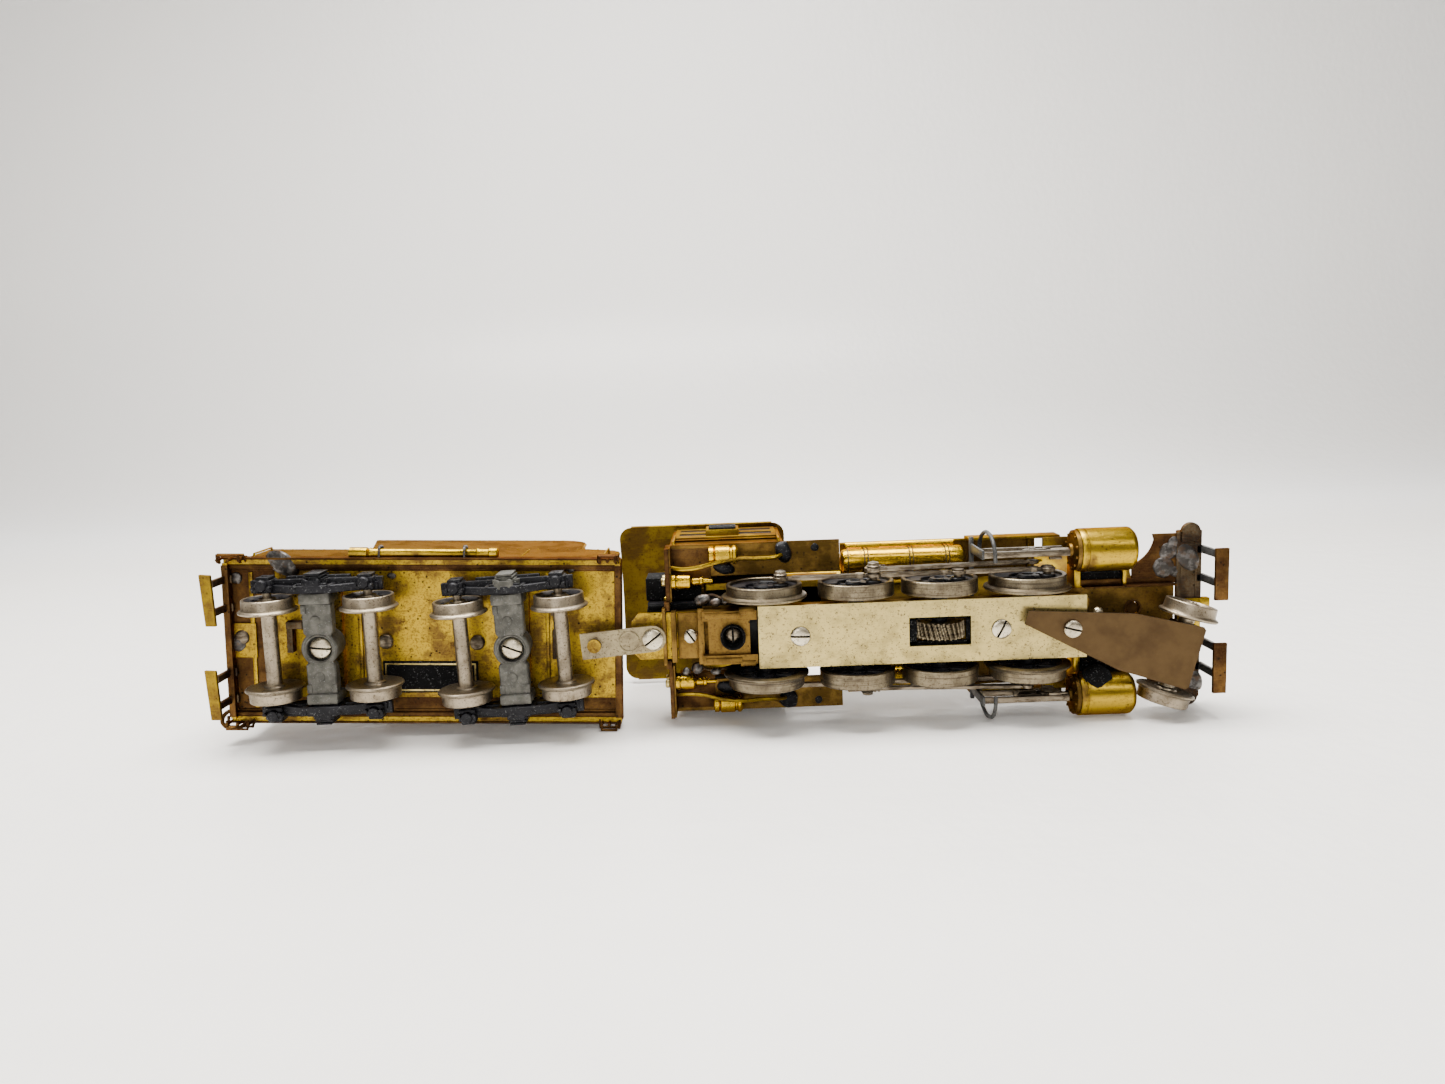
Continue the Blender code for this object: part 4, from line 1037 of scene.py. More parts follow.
class LOCO_OT_underframe(bpy.types.Operator):
    """Frame fittings, keeper and drawbar screws, drawgear and the worm wheel"""

    bl_idname = "loco.underframe"
    bl_label = "Frame fittings"

    def execute(self, context):
        heads = {
            "keeper_screw_rear": ((6.6, 0, 5.3), 1.85, 2), "keeper_screw_front": ((45.0, 0, 5.3), 1.85, -62),
            "pilot_truck_screw": ((57.9, 0, 2.95), 1.65, 15),
        }
        for name, (at, radius, turn) in heads.items():
            head = screw_head(at, radius, 0.65, turn)
            shank = bar_between((at[0], 0, at[2] + 0.05), (at[0], 0, 9.7), 0.8, 16)
            piece(f"{name}_head", [head, shank], "screw", replaces=[name])
            # Black strip in the slot: painted shade.
            painted_slot_shade(f"{name}_slot", [(at, radius, 0.65, turn)], "engine")
        drawbar_at = [v / MM for v in joint("drawbar_swing")["pos_m"]]
        x = drawbar_at[0] - PLACES["engine"].translation.x / MM
        head = screw_head((x, 0, 7.4), 1.95, 0.75, -37)
        shank = bar_between((x, 0, 7.4), (x, 0, 12.1), 0.95, 16)
        collar = turned([(1.6, 8.35), (1.6, 9.75)], "Z", (x, 0, 0), 24, 0.08)
        piece("drawbar_screw_head", [head, shank, collar], "screw", replaces=["drawbar_screw"])
        # Black strip in the slot: painted shade.
        painted_slot_shade("drawbar_screw_slot_shade", [((x, 0, 7.4), 1.95, 0.75, -37)], "engine")
        self.tail()
        self.front()
        self.gear()
        length = drawbar_run.length / MM
        ring_rivet = ring(
            [(0.75, 7.55), (1.35, 7.55), (1.35, 7.2), (1.05, 7.05), (0.75, 7.2)], "Z", (-length, 0, 0), 32
        )
        core = turned([(0.72, 7.35), (0.6, 7.3), (0.2, 7.42)], "Z", (-length, 0, 0), 20)
        piece("drawbar_rivet", [ring_rivet, core], "steel", "tender", place="drawbar")
        embossed = ring(
            [(1.75, 7.52), (1.95, 7.46), (2.12, 7.52), (2.12, 7.62), (1.75, 7.62)], "Z", (-4.6, 0, 0), 40
        )
        piece("drawbar_emboss", [embossed], "dull_nickel", "drawbar")
        return {"FINISHED"}

    def tail(self):
        plates = blocks(
            ((-17.0, -12.3), (-4.5, 4.5), (9.0, 10.6), 0.15),
            ((-18.2, -17.2), (-4.9, 4.9), (7.6, 11.0), 0.12),
            ((-19.9, -19.2), (-5.6, 5.6), (8.2, 10.9), 0.1),
            ((-11.6, -4.6), (3.9, 4.9), (5.6, 6.5), 0.1),
            ((-11.6, -4.6), (-4.9, -3.9), (5.6, 6.5), 0.1),
            ((-5.0, -2.0), (4.6, 5.6), (5.6, 8.0), 0.12),
            ((-5.0, -2.0), (-5.6, -4.6), (5.6, 8.0), 0.12),
            ((-13.0, -11.8), (-5.4, 5.4), (7.6, 9.6), 0.12),
        )
        piece("frame_tail_plates", plates, "aged_floor")
        small = screw_head((-14.5, 0, 9.0), 1.35, 0.6, 55)
        deep = screw_head((-6.3, 0, 8.6), 1.45, 0.7, 88)
        # Painted shade: a black ring lines the well round the deep screw, standing in for its shadow.
        well_shade = ring(
            [(1.45, 8.9), (2.45, 8.9), (2.45, 5.9), (2.3, 5.72), (2.1, 5.9), (1.9, 8.4)],
            "Z", (-6.3, 0, 0), 40,
        )
        piece("tail_screw", [small], "screw")
        piece("motor_screw", [deep], "steel")
        piece("motor_screw_well_shade", [well_shade], "matte_black_and_shade")
        # Black strips in both slots: painted shade.
        painted_slot_shade(
            "tail_slot_shades", [((-14.5, 0, 9.0), 1.35, 0.6, 55), ((-6.3, 0, 8.6), 1.45, 0.7, 88)], "engine"
        )
        lumps = lumps_of_solder(
            1,
            ((-13.5, 6.6, 9.6), (1.5, 1.0, 1.1)),
            ((-12.0, -6.9, 9.8), (1.8, 1.0, 1.0)),
            ((-9.4, -6.4, 9.2), (1.3, 0.9, 0.9)),
            ((-9.8, 7.2, 9.0), (1.2, 0.8, 0.9)),
            ((-15.6, 6.9, 8.6), (0.9, 0.8, 0.8)),
            ((-7.4, -6.6, 8.8), (0.9, 0.7, 0.8)),
        )
        piece("tail_solder", lumps, "solder")
        leads = [
            wire(
                [
                    (-12.5, -6.0, 9.4), (-10.6, -7.6, 10.6), (-8.0, -7.0, 9.6), (-5.0, -6.6, 10.8),
                    (-3.2, -6.4, 12.4),
                ],
                0.3,
            ),
            wire([(-13.0, 6.2, 9.6), (-11.0, 7.4, 11.0), (-8.2, 6.9, 10.0), (-5.4, 6.7, 12.6)], 0.3),
        ]
        piece("motor_leads", leads, "dark_brass")

    def front(self):
        ball = turned(
            [(0.3, 6.2), (0.3, 5.6), (0.85, 5.3), (1.0, 4.9), (0.85, 4.45), (0.5, 4.15), (0.15, 4.05)],
            "Z", (63.3, -2.7, 0), 28,
        )
        piece("ball_screw", [ball], "screw")
        lip = ring(
            [(1.3, 11.55), (1.75, 11.55), (1.75, 11.35), (1.45, 11.3), (1.3, 11.4)], "Z", (72.4, -1.7, 0), 28
        )
        plug = turned([(1.2, 11.9), (1.1, 11.75)], "Z", (72.4, -1.7, 0), 24)
        piece("nose_hole_rim", [lip, plug], "rust_brass")
        skirts = both((62.6, 80.6), (6.15, 6.5), (10.2, 12.5), 0.1)
        skirts += both((62.2, 82.0), (6.4, 7.6), (12.1, 12.6), 0.12)
        piece("nose_skirts", skirts, "rust_brass")

    def gear(self):
        teeth, radius = 26, 4.85
        pitch = WHOLE_TURN / teeth
        outline = []
        for i in range(teeth):
            for share, r in (
                (-0.30, radius - 0.75), (-0.16, radius - 0.1), (-0.1, radius), (0.1, radius),
                (0.16, radius - 0.1), (0.30, radius - 0.75),
            ):
                a = (i + share) * pitch
                outline.append((DRIVER_X[2] + r * math.cos(a), AXLE_Z + r * math.sin(a)))
        hole = circle((DRIVER_X[2], AXLE_Z), 1.6, 24)
        slices = [sheet(outline, y, y + 0.62, "Y", [hole], 0.05) for y in (-1.55, -0.93, -0.31, 0.31, 0.93)]
        centre = Matrix.Translation((DRIVER_X[2], 0, AXLE_Z))
        wheel = [
            made
            for i, part in enumerate(slices)
            for made in with_copies(part, [centre @ tilt(i * pitch * 0.16) @ centre.inverted()])
        ]
        piece("worm_wheel", wheel, "tyre", "driver_3", replaces=["drive_gear"])
        x = DRIVER_X[2]
        # Painted shade: black plates round the worm wheel's opening stand in for the shadow in the pit.
        pit_shade = both((x - 6.4, x + 6.4), (2.15, 4.2), (6.3, 6.9), 0)
        pit_shade += [
            block(ends, (-4.2, 4.2), (6.3, 6.9), 0)
            for ends in ((x - 6.4, x - 4.75), (x + 4.75, x + 6.4))
        ]
        piece("gear_pit_shade", pit_shade, "matte_black_and_shade")


class LOCO_OT_pilot(bpy.types.Operator):
    """Front beam, deck, footboards and the solder that holds them"""

    bl_idname = "loco.pilot"
    bl_label = "Pilot"

    def execute(self, context):
        half = [(82.4, 16.2), (76.3, 16.2), *circle((70.4, 16.4), 6.4, 8, -12, -72), (72.4, 6.6), (81.2, 6.6)]
        plates = [sheet([(x, s * y) for x, y in half], 12.2, 12.7, edge=0.08) for s in SIDES.values()]
        piece("pilot_deck_plates", plates, "rust_brass", replaces=["pilot_deck"])
        beam = blocks(
            ((81.6, 85.9), (-16.6, 16.6), (11.9, 14.3), 0.3),
            ((84.6, 85.9), (-16.7, 16.7), (11.8, 12.4), 0.15),
            ((81.0, 81.9), (-16.4, 16.4), (11.85, 12.5), 0.12),
        )
        tabs = [
            turned([(1.75, 11.4), (1.9, 11.55), (1.9, 12.2)], "Z", (83.6, s * 16.4, 0), 28)
            for s in SIDES.values()
        ]
        tabs += both((81.8, 85.4), (14.6, 16.5), (11.45, 12.2), 0.2)
        piece("pilot_beam", beam, "dark_brass")
        piece("beam_end_tabs", tabs, "dark_brass")
        lumps = lumps_of_solder(
            20,
            ((79.6, -12.8, 12.2), (2.2, 1.6, 0.5)),
            ((78.6, -9.6, 12.2), (2.2, 2.2, 0.45)),
            ((80.6, -14.4, 12.2), (1.5, 1.2, 0.4)),
            ((83.2, -11.4, 11.9), (1.7, 3.4, 0.4)),
            ((80.8, -8.6, 12.2), (1.4, 1.2, 0.4)),
            ((84.6, 13.6, 11.8), (1.1, 2.8, 0.6)),
            ((83.6, 8.8, 11.9), (1.5, 2.0, 0.4)),
            ((80.4, 11.6, 12.2), (1.6, 1.8, 0.4)),
        )
        piece("beam_solder", lumps, "solder")
        boards, arms = [], []
        for y_board, y_arms in (((-14.5, -4.6), (-13.6, -8.0)), ((3.6, 13.3), (4.6, 9.8))):
            boards.append(block((84.2, 86.7), y_board, (1.9, 2.7), 0.12))
            arms += [block((85.9, 86.6), (y, y + 1.5), (2.6, 12.6), 0.1) for y in y_arms]
            arms += [block((84.9, 86.6), (y, y + 1.5), (11.8, 12.8), 0.1) for y in y_arms]
            arms += [block((84.5, 86.6), (y - 0.1, y + 1.6), (2.6, 3.1), 0.1) for y in y_arms]
        piece("pilot_footboards", boards, "rust_brass")
        piece("pilot_footboard_arms", arms, "iron")
        lug = blocks(
            ((85.6, 87.5), (-3.3, -0.9), (11.4, 12.9), 0.15), ((81.2, 85.7), (-3.3, 3.3), (11.5, 12.0), 0.15)
        )
        piece("coupler_lug", lug, "cylinder_brass")
        lift = wire(
            [(86.6, -13.4, 14.3), (87.2, -13.4, 15.6), (87.2, 13.4, 15.6), (86.6, 13.4, 14.3)], 0.28, False
        )
        posts = [bar_between((86.0, y, 14.0), (87.1, y, 15.5), 0.25, 10) for y in (-9.0, -3.0, 3.0, 9.0)]
        piece("uncoupling_bar", [lift, *posts], "sheet_brass")
        return {"FINISHED"}


class LOCO_OT_trucks(bpy.types.Operator):
    """The tender trucks' cast bolsters, side frames, springs and axle boxes"""

    bl_idname = "loco.trucks"
    bl_label = "Tender trucks"

    def execute(self, context):
        for end in ("front", "rear"):
            body = f"{end}_truck"
            piece(f"bolster_{end}", self.bolster(), "casting", body, replaces=[f"truck_bolster_{end}"])
            for side, s in SIDES.items():
                name = f"side_frame_{end}_{side}"
                node = f"truck_frame_{end}_{side}"
                piece(name, self.side_frame(s), "dark_casting", body, replaces=[node])
                finish = "casting" if (end, side) == ("front", "right") else "dark_casting"
                piece(f"leaf_springs_{end}_{side}", self.springs(s), finish, body)
            x = (Vector(joint(f"{end}_truck_swivel")["pos_m"]) - Vector(drawbar_pin)).xy.length / -MM
            turn = 4 if end == "rear" else 20
            head = screw_head((x, 0, 5.4), 2.05, 0.85, turn)
            # Black strip in the slot: painted shade.
            painted_slot_shade(f"kingpin_slot_shade_{end}", [((x, 0, 5.4), 2.05, 0.85, turn)], "tender", "tender")
            shank = bar_between((x, 0, 5.45), (x, 0, 11.7), 0.94, 16)
            piece(f"kingpin_{end}", [head, shank], "screw", "tender", replaces=[f"kingpin_screw_{end}"])
        return {"FINISHED"}

    def bolster(self):
        waist = [
            (-2.8, -8.9), (2.8, -8.9), (2.8, -3.0), *circle((0, 0), 3.45, 8, -50, 50), (2.8, 3.0), (2.8, 8.9)
        ]
        waist += [(-2.8, 8.9), (-2.8, 3.0), *circle((0, 0), 3.45, 8, 130, 230), (-2.8, -3.0)]
        hole = circle((0, 0), 2.5, 32)
        parts = [sheet(waist, 4.2, 6.4, "Z", [hole], 0.25)]
        parts += [
            ring([(1.1, 6.0), (3.0, 6.0), (3.0, 10.3), (2.7, 10.35), (1.1, 10.35)], "Z", sides=40),
            ring([(2.45, 4.25), (2.7, 4.05), (2.95, 4.25), (2.95, 4.5), (2.45, 4.5)], "Z", sides=40),
        ]
        for s in SIDES.values():
            parts += [
                turned([(1.05, 4.3), (0.95, 4.05), (0.6, 4.0)], "Z", (-0.3, s * 5.5, 0), 24, 0.05),
                block((-3.0, 3.0), span(s, 8.7, 10.8), (3.5, 8.8), 0.4),
                block((-2.3, 2.3), span(s, 3.9, 8.8), (6.2, 8.2), 0.3),
                block((-2.9, -1.9), span(s, 6.9, 8.6), (4.0, 4.5), 0.15),
                block((1.9, 2.9), span(s, 6.9, 8.6), (4.0, 4.5), 0.15),
            ]
        return parts

    def side_frame(self, s):
        z = SMALL_AXLE_Z
        parts = []
        upper = [
            (-11.8, z + 1.4), (-7.6, z + 1.6), (-3.4, z + 3.6), (3.4, z + 3.6), (7.6, z + 1.6),
            (11.8, z + 1.4),
        ]
        lower = [
            (-11.8, z - 0.4), (-7.6, z - 0.6), (-3.4, z - 2.5), (3.4, z - 2.5), (7.6, z - 0.6),
            (11.8, z - 0.4),
        ]
        for run in (upper, lower):
            outline = [(x, h + 0.45) for x, h in run] + [(x, h - 0.45) for x, h in reversed(run)]
            parts.append(sheet(outline, *span(s, 11.0, 12.5), "Y", edge=0.14))
        parts += blocks(
            ((-12.6, 12.6), (10.9, 13.4), (z - 0.1, z + 1.1), 0.2),
            ((-6.2, 6.2), (10.9, 13.9), (z + 1.0, z + 1.9), 0.3),
            side=s,
        )
        for x in (-3.3, 3.3):
            parts += [
                block((x - 0.45, x + 0.45), span(s, 11.0, 12.6), (z - 2.6, z + 3.7), 0.14),
                bar_between((x, s * 12.2, z - 3.1), (x, s * 12.2, z + 4.2), 0.42, 12),
            ]
        for x in (-TRUCK_HALF_BASE, TRUCK_HALF_BASE):
            parts += [
                block((x - 1.7, x + 1.7), span(s, 11.1, 13.6), (z - 1.9, z + 2.0), 0.35),
                block((x - 1.35, x + 1.35), span(s, 13.3, 14.2), (z - 1.6, z + 1.2), 0.3),
                bar_between((x - 1.2, s * 13.9, z + 1.35), (x + 1.2, s * 13.9, z + 1.35), 0.3, 12),
                turned([(0.6, s * 14.1), (0.5, s * 14.3)], "Y", (x, 0, z - 0.3), 20),
                turned(
                    [(1.15, z - 1.6), (1.15, z - 2.5), (0.95, z - 2.75), (0.4, z - 2.8)],
                    "Z", (x, s * 12.6, 0), 20,
                ),
            ]
            for edge in (-1.45, 1.45):
                parts.append(
                    turned(
                        [(0.36, z - 2.9), (0.36, z - 2.3), (0.28, z + 2.2), (0.36, z + 2.3), (0.36, z + 2.8)],
                        "Z", (x + edge, s * 12.2, 0), 6,
                    )
                )
        parts += blocks(
            ((-2.9, 2.9), (11.2, 12.9), (z - 2.75, z - 2.1), 0.15),
            ((-2.6, 2.6), (11.2, 12.9), (z + 2.9, z + 3.7), 0.2),
            side=s,
        )
        return parts

    def springs(self, s):
        z = SMALL_AXLE_Z
        parts = []
        for i in range(6):
            half, y = 1.5 + 0.22 * i, 14.3 - 0.52 * i
            parts += blocks(
                ((-half, half), (y, y + 0.4), (z - 2.3 + 0.12 * i, z + 2.6), 0.1),
                ((-half, half), (11.2, 13.4), (z - 2.9 + 0.5 * i, z - 2.55 + 0.5 * i), 0.07),
                side=s,
            )
        parts.append(block((-1.1, 1.1), span(s, 10.9, 14.1), (z - 2.1, z + 2.6), 0.25))
        parts += [blob((x, s * 12.4, z - 2.6), (0.9, 1.5, 0.4), 60 + x) for x in (-1, 1)]
        return parts


class LOCO_OT_tender(bpy.types.Operator):
    """Tender edges, steps, pipe, plate, rivets, ladder, rails and footboards"""

    bl_idname = "loco.tender"
    bl_label = "Tender details"

    def execute(self, context):
        sizes = context.scene.loco_sizes
        self.underside()
        self.pipe()
        self.steps()
        self.footboards()
        self.body(sizes)
        return {"FINISHED"}

    def underside(self):
        channels = []
        for s in SIDES.values():
            channels += blocks(
                ((-72.3, 4.7), (14.4, 15.3), (10.9, 12.1), 0.12),
                ((-72.4, 4.8), (16.2, 16.6), (10.6, 13.0), 0.1),
                ((-72.3, 4.7), (13.9, 14.5), (11.6, 12.0), 0.08),
                side=s,
            )
        channels += [block(x, (-15.2, 15.2), (10.0, 12.0), 0.12) for x in ((-72.6, -71.3), (3.7, 5.0))]
        piece("tender_channels", channels, "rust_brass", "tender")
        ribs = blocks(
            ((-68.0, -67.2), (-13.6, 13.6), (11.5, 12.0), 0.1),
            ((-57.3, -56.6), (-13.6, 13.6), (11.5, 12.0), 0.1),
            ((-47.0, -46.2), (-13.6, 13.6), (11.6, 12.0), 0.1),
            ((-10.0, -9.3), (-13.6, 13.6), (11.5, 12.0), 0.1),
        )
        piece("floor_ribs", ribs, "floor_brass", "tender")
        rust = blocks(
            ((-72.2, -63.0), (-14.4, 14.6), (11.86, 12.0), 0), ((-63, 4), (11.6, 14.4), (11.86, 12.0), 0)
        )
        piece("floor_rust", rust, "rust_brass", "tender")
        tabs = blocks(
            ((-60.6, -59.4), (-4.0, 2.2), (10.2, 12.0), 0.1),
            ((-60.6, -57.4), (-4.0, -2.6), (10.0, 12.0), 0.1),
            ((-8.6, -7.2), (-2.4, 3.4), (10.4, 12.0), 0.1),
            ((-8.9, -7.4), (-9.6, -5.2), (10.8, 12.0), 0.1),
        )
        piece("floor_tabs", tabs, "dark_brass", "tender")
        nuts = [
            turned([(1.5, 12.0), (1.5, 11.4), (1.25, 11.1), (0.8, 11.0)], "Z", (x, y, 0), 28, 0.08)
            for x, y in ((-41.6, 0.2), (-23.6, 0.4), (1.4, 0.0), (-69.8, -0.6))
        ]
        piece("floor_screws", nuts, "steel", "tender")
        lumps = lumps_of_solder(
            31,
            ((-70.4, -12.4, 11.7), (1.2, 1.2, 0.5)),
            ((-61.0, -15.4, 11.3), (4.2, 1.1, 0.8)),
            ((-70.6, 0.6, 11.6), (1.6, 1.9, 0.8)),
            ((-40.0, -12.9, 11.8), (1.0, 0.6, 0.4)),
            ((-5.0, -14.4, 11.5), (1.0, 0.8, 0.6)),
            ((-64.4, 12.6, 11.7), (1.2, 1.0, 0.5)),
            ((-47.0, 9.8, 11.8), (0.8, 0.9, 0.4)),
        )
        piece("floor_solder", lumps, "solder", "tender")
        plate = block((-42.4, -23.6), (4.2, 10.6), (11.72, 12.0), 0.1)
        border = sheet(
            [(-42.0, 4.6), (-24.0, 4.6), (-24.0, 10.2), (-42.0, 10.2)],
            11.62, 11.74, "Z",
            [[(-41.7, 4.9), (-24.3, 4.9), (-24.3, 9.9), (-41.7, 9.9)]],
            0.0,
        )
        piece("blank_plate", [plate], "matte_black_and_shade", "tender")
        piece("blank_plate_border", [border], "nickel", "tender")

    def pipe(self):
        start, end, y, z = -48.4, -19.2, -17.3, 12.6
        profile = [
            (0.75, start), (1.15, start + 0.2), (1.15, start + 3.6), (0.9, start + 3.8), (1.1, start + 4.2),
            (0.9, start + 4.6), (0.86, end - 4.4), (1.08, end - 4.0), (0.88, end - 3.6), (0.88, end - 1.8),
            (1.1, end - 1.6), (1.1, end - 0.2), (0.75, end),
        ]
        piece("tender_side_pipe", [turned(profile, "X", (0, y, z), 32)], "cylinder_brass", "tender")
        hangers = []
        for x in (start + 6.0, end - 6.6):
            loop = [
                (x, y + 1.0, z + 1.6), (x, y - 0.9, z + 0.9), (x + 0.1, y - 1.3, z - 0.3),
                (x + 0.2, y - 0.4, z - 1.3), (x + 0.3, y + 1.2, z - 1.4), (x + 0.5, y + 2.6, z - 1.3),
            ]
            hangers += [wire(loop, 0.24), blob((x, y - 1.0, z + 0.9), (0.6, 0.5, 0.6), int(x))]
        piece("pipe_hangers", hangers, "solder", "tender")

    def steps(self):
        parts = []
        for x0, x1 in ((-73.4, -68.0), (0.4, 4.6)):
            for s in SIDES.values():
                parts += [
                    wire(
                        [
                            (x0, s * 15.4, 11.4), (x0 + 0.3, s * 17.2, 10.4), (x1 - 0.3, s * 17.2, 10.4),
                            (x1, s * 15.4, 11.4),
                        ],
                        0.34, False,
                    ),
                    wire(
                        [
                            (x0 + 0.5, s * 15.8, 9.6), (x0 + 0.7, s * 17.3, 8.9), (x1 - 0.7, s * 17.3, 8.9),
                            (x1 - 0.5, s * 15.8, 9.6),
                        ],
                        0.3, False,
                    ),
                ]
                for x in (x0 + 0.6, (x0 + x1) / 2, x1 - 0.6):
                    parts.append(bar_between((x, s * 16.3, 8.9), (x, s * 16.5, 12.6), 0.34, 10))
        loop = [
            (-71.4, 13.8, 11.4), (-73.4, 14.6, 9.8), (-73.6, 16.4, 9.4), (-70.6, 17.1, 9.6),
            (-69.4, 16.4, 10.8),
        ]
        parts.append(wire(loop, 0.4))
        piece("tender_steps", parts, "rust_brass", "tender")
        bars = blocks(
            ((-72.6, -72.2), (-16.2, 16.2), (12.2, 14.0), 0.1), ((4.6, 5.0), (-16.2, 16.2), (12.2, 13.6), 0.1)
        )
        piece("tender_end_strips", bars, "rust_brass", "tender")

    def footboards(self):
        for side, s in SIDES.items():
            low, high = (4.4, 14.2) if s > 0 else (-14.2, -4.2)
            outline = [(-74.4, low), (-72.2, low + 0.1), (-71.6, high), (-73.6, high)]
            board = sheet(outline, 4.6, 5.3, "Z", edge=0.1)
            piece(f"rear_board_{side}", [board], "sheet_brass", "tender", replaces=[f"rear_footboard_{side}"])
            arms = []
            for y in (low + 1.2, high - 3.2):
                arms += blocks(
                    ((-72.7, -71.9), (y, y + 1.4), (5.1, 11.8), 0.12),
                    ((-73.8, -72.1), (y, y + 1.4), (5.25, 5.7), 0.1),
                    ((-72.7, -71.0), (y - 0.1, y + 1.5), (10.9, 11.7), 0.12),
                )
            piece(f"rear_board_arms_{side}", arms, "dark_brass", "tender")

    def body(self, sizes):
        radius, pitch = sizes.rivet / MM, sizes.rivet_pitch / MM
        seed = rivet_head(radius)
        spots = []
        for s in SIDES.values():
            y = s * 15.6
            runs = [
                ((-70.2, 13.9), (2.8, 13.9)), ((-70.2, 28.7), (-50.4, 28.7)), ((-46.0, 29.6), (-1.6, 29.6)),
                ((-52.2, 43.2), (-11.0, 43.2)), ((-70.2, 14.8), (-70.2, 28.2)), ((2.8, 14.8), (2.8, 26.0)),
            ]
            runs += [((x, 14.8), (x, 28.8)) for x in (-52.0, -34.0, -16.0)]
            for (x0, z0), (x1, z1) in runs:
                count = max(2, round(math.hypot(x1 - x0, z1 - z0) / pitch))
                spots += [
                    ((x0 + (x1 - x0) * i / count, y, z0 + (z1 - z0) * i / count), s)
                    for i in range(count + 1)
                ]
        heads = [
            copied(seed, Matrix.Translation(at) @ Matrix.Rotation(-s * QUARTER, 4, "X"))
            for at, s in spots
        ]
        rear = [(-70.85, y, z) for z in (13.9, 28.7) for y in range(-15, 16, 2)]
        heads += [copied(seed, Matrix.Translation(at) @ Matrix.Rotation(-QUARTER, 4, "Y")) for at in rear]
        bpy.data.objects.remove(seed, do_unlink=True)
        piece("tank_rivets", heads, "sheet_brass", "tender")
        rim = []
        for s in SIDES.values():
            top = [
                (3.2, 15.3, 25.8), (2.0, 15.3, 28.6), (-0.8, 15.3, 29.7), (-5.2, 15.3, 30.8),
                (-5.4, 15.3, 38.8),
            ]
            top += [(-10.6 + 5.2 * math.cos(a), 15.3, 38.8 + 5.2 * math.sin(a)) for a in (0.5, 0.9, 1.25)]
            top += [(-11.0, 15.3, 44.1), (-52.8, 15.3, 44.1)]
            rim.append(wire([(x, s * y, z) for x, y, z in top], 0.32, False))
        rim += [
            bar_between((x, -15.3, z), (x, 15.3, z), 0.32, 10)
            for x, z in ((-52.9, 44.0), (-11.0, 44.1), (-70.7, 29.6))
        ]
        piece("tank_beading", rim, "cylinder_brass", "tender")
        hatch = [
            turned(
                [(2.6, 29.4), (2.6, 30.6), (2.75, 30.7), (2.75, 31.0), (2.0, 31.3)],
                "Z", (-61.5, 0, 0), 40, 0.08,
            ),
            block((-64.5, -63.6), (-0.6, 0.6), (29.5, 31.2), 0.12),
            bar_between((-64.2, 0, 31.1), (-59.4, 0, 31.4), 0.25, 10),
            block((-69.6, -66.6), (-9.0, 9.0), (29.5, 32.2), 0.25),
            block((-69.8, -66.4), (-9.2, 9.2), (32.0, 32.5), 0.15),
        ]
        piece("tank_hatch_and_box", hatch, "sheet_brass", "tender")
        rails = [
            wire(
                [(-71.0, y, 15.6), (-72.0, y, 16.2), (-72.0, y, 27.0), (-71.0, y, 27.6)],
                sizes.handrail / MM, False,
            )
            for y in (-12.6, 12.6, 6.4, 3.4)
        ]
        rails += [bar_between((-72.0, 3.4, z), (-72.0, 6.4, z), 0.22, 8) for z in range(17, 27, 2)]
        for s in SIDES.values():
            for x in (-68.6, 1.2):
                rails.append(
                    wire(
                        [(x, s * 15.6, 15.8), (x, s * 16.6, 16.2), (x, s * 16.6, 24.6), (x, s * 15.6, 25.0)],
                        sizes.handrail / MM, False,
                    )
                )
        piece("tender_handrails_and_ladder", rails, "cylinder_brass", "tender")
        lamp = [
            turned([(1.4, -75.0), (1.6, -74.8), (1.6, -72.8), (1.2, -71.4)], "X", (0, 0, 33.4), 32, 0.06),
            block((-74.2, -72.4), (-1.2, 1.2), (29.6, 32.2), 0.2),
        ]
        lens = turned([(1.25, -75.15), (1.1, -75.35), (0.5, -75.5)], "X", (0, 0, 33.4), 32)
        piece("tender_lamp", lamp, "sheet_brass", "tender")
        piece("tender_lamp_lens", [lens], "screw", "tender")


def rivet_head(radius):
    """A small domed head that stands on the Z plane."""
    return turned([(radius, 0), (radius * 0.88, radius * 0.4), (radius * 0.45, radius * 0.68)], "Z", sides=8)


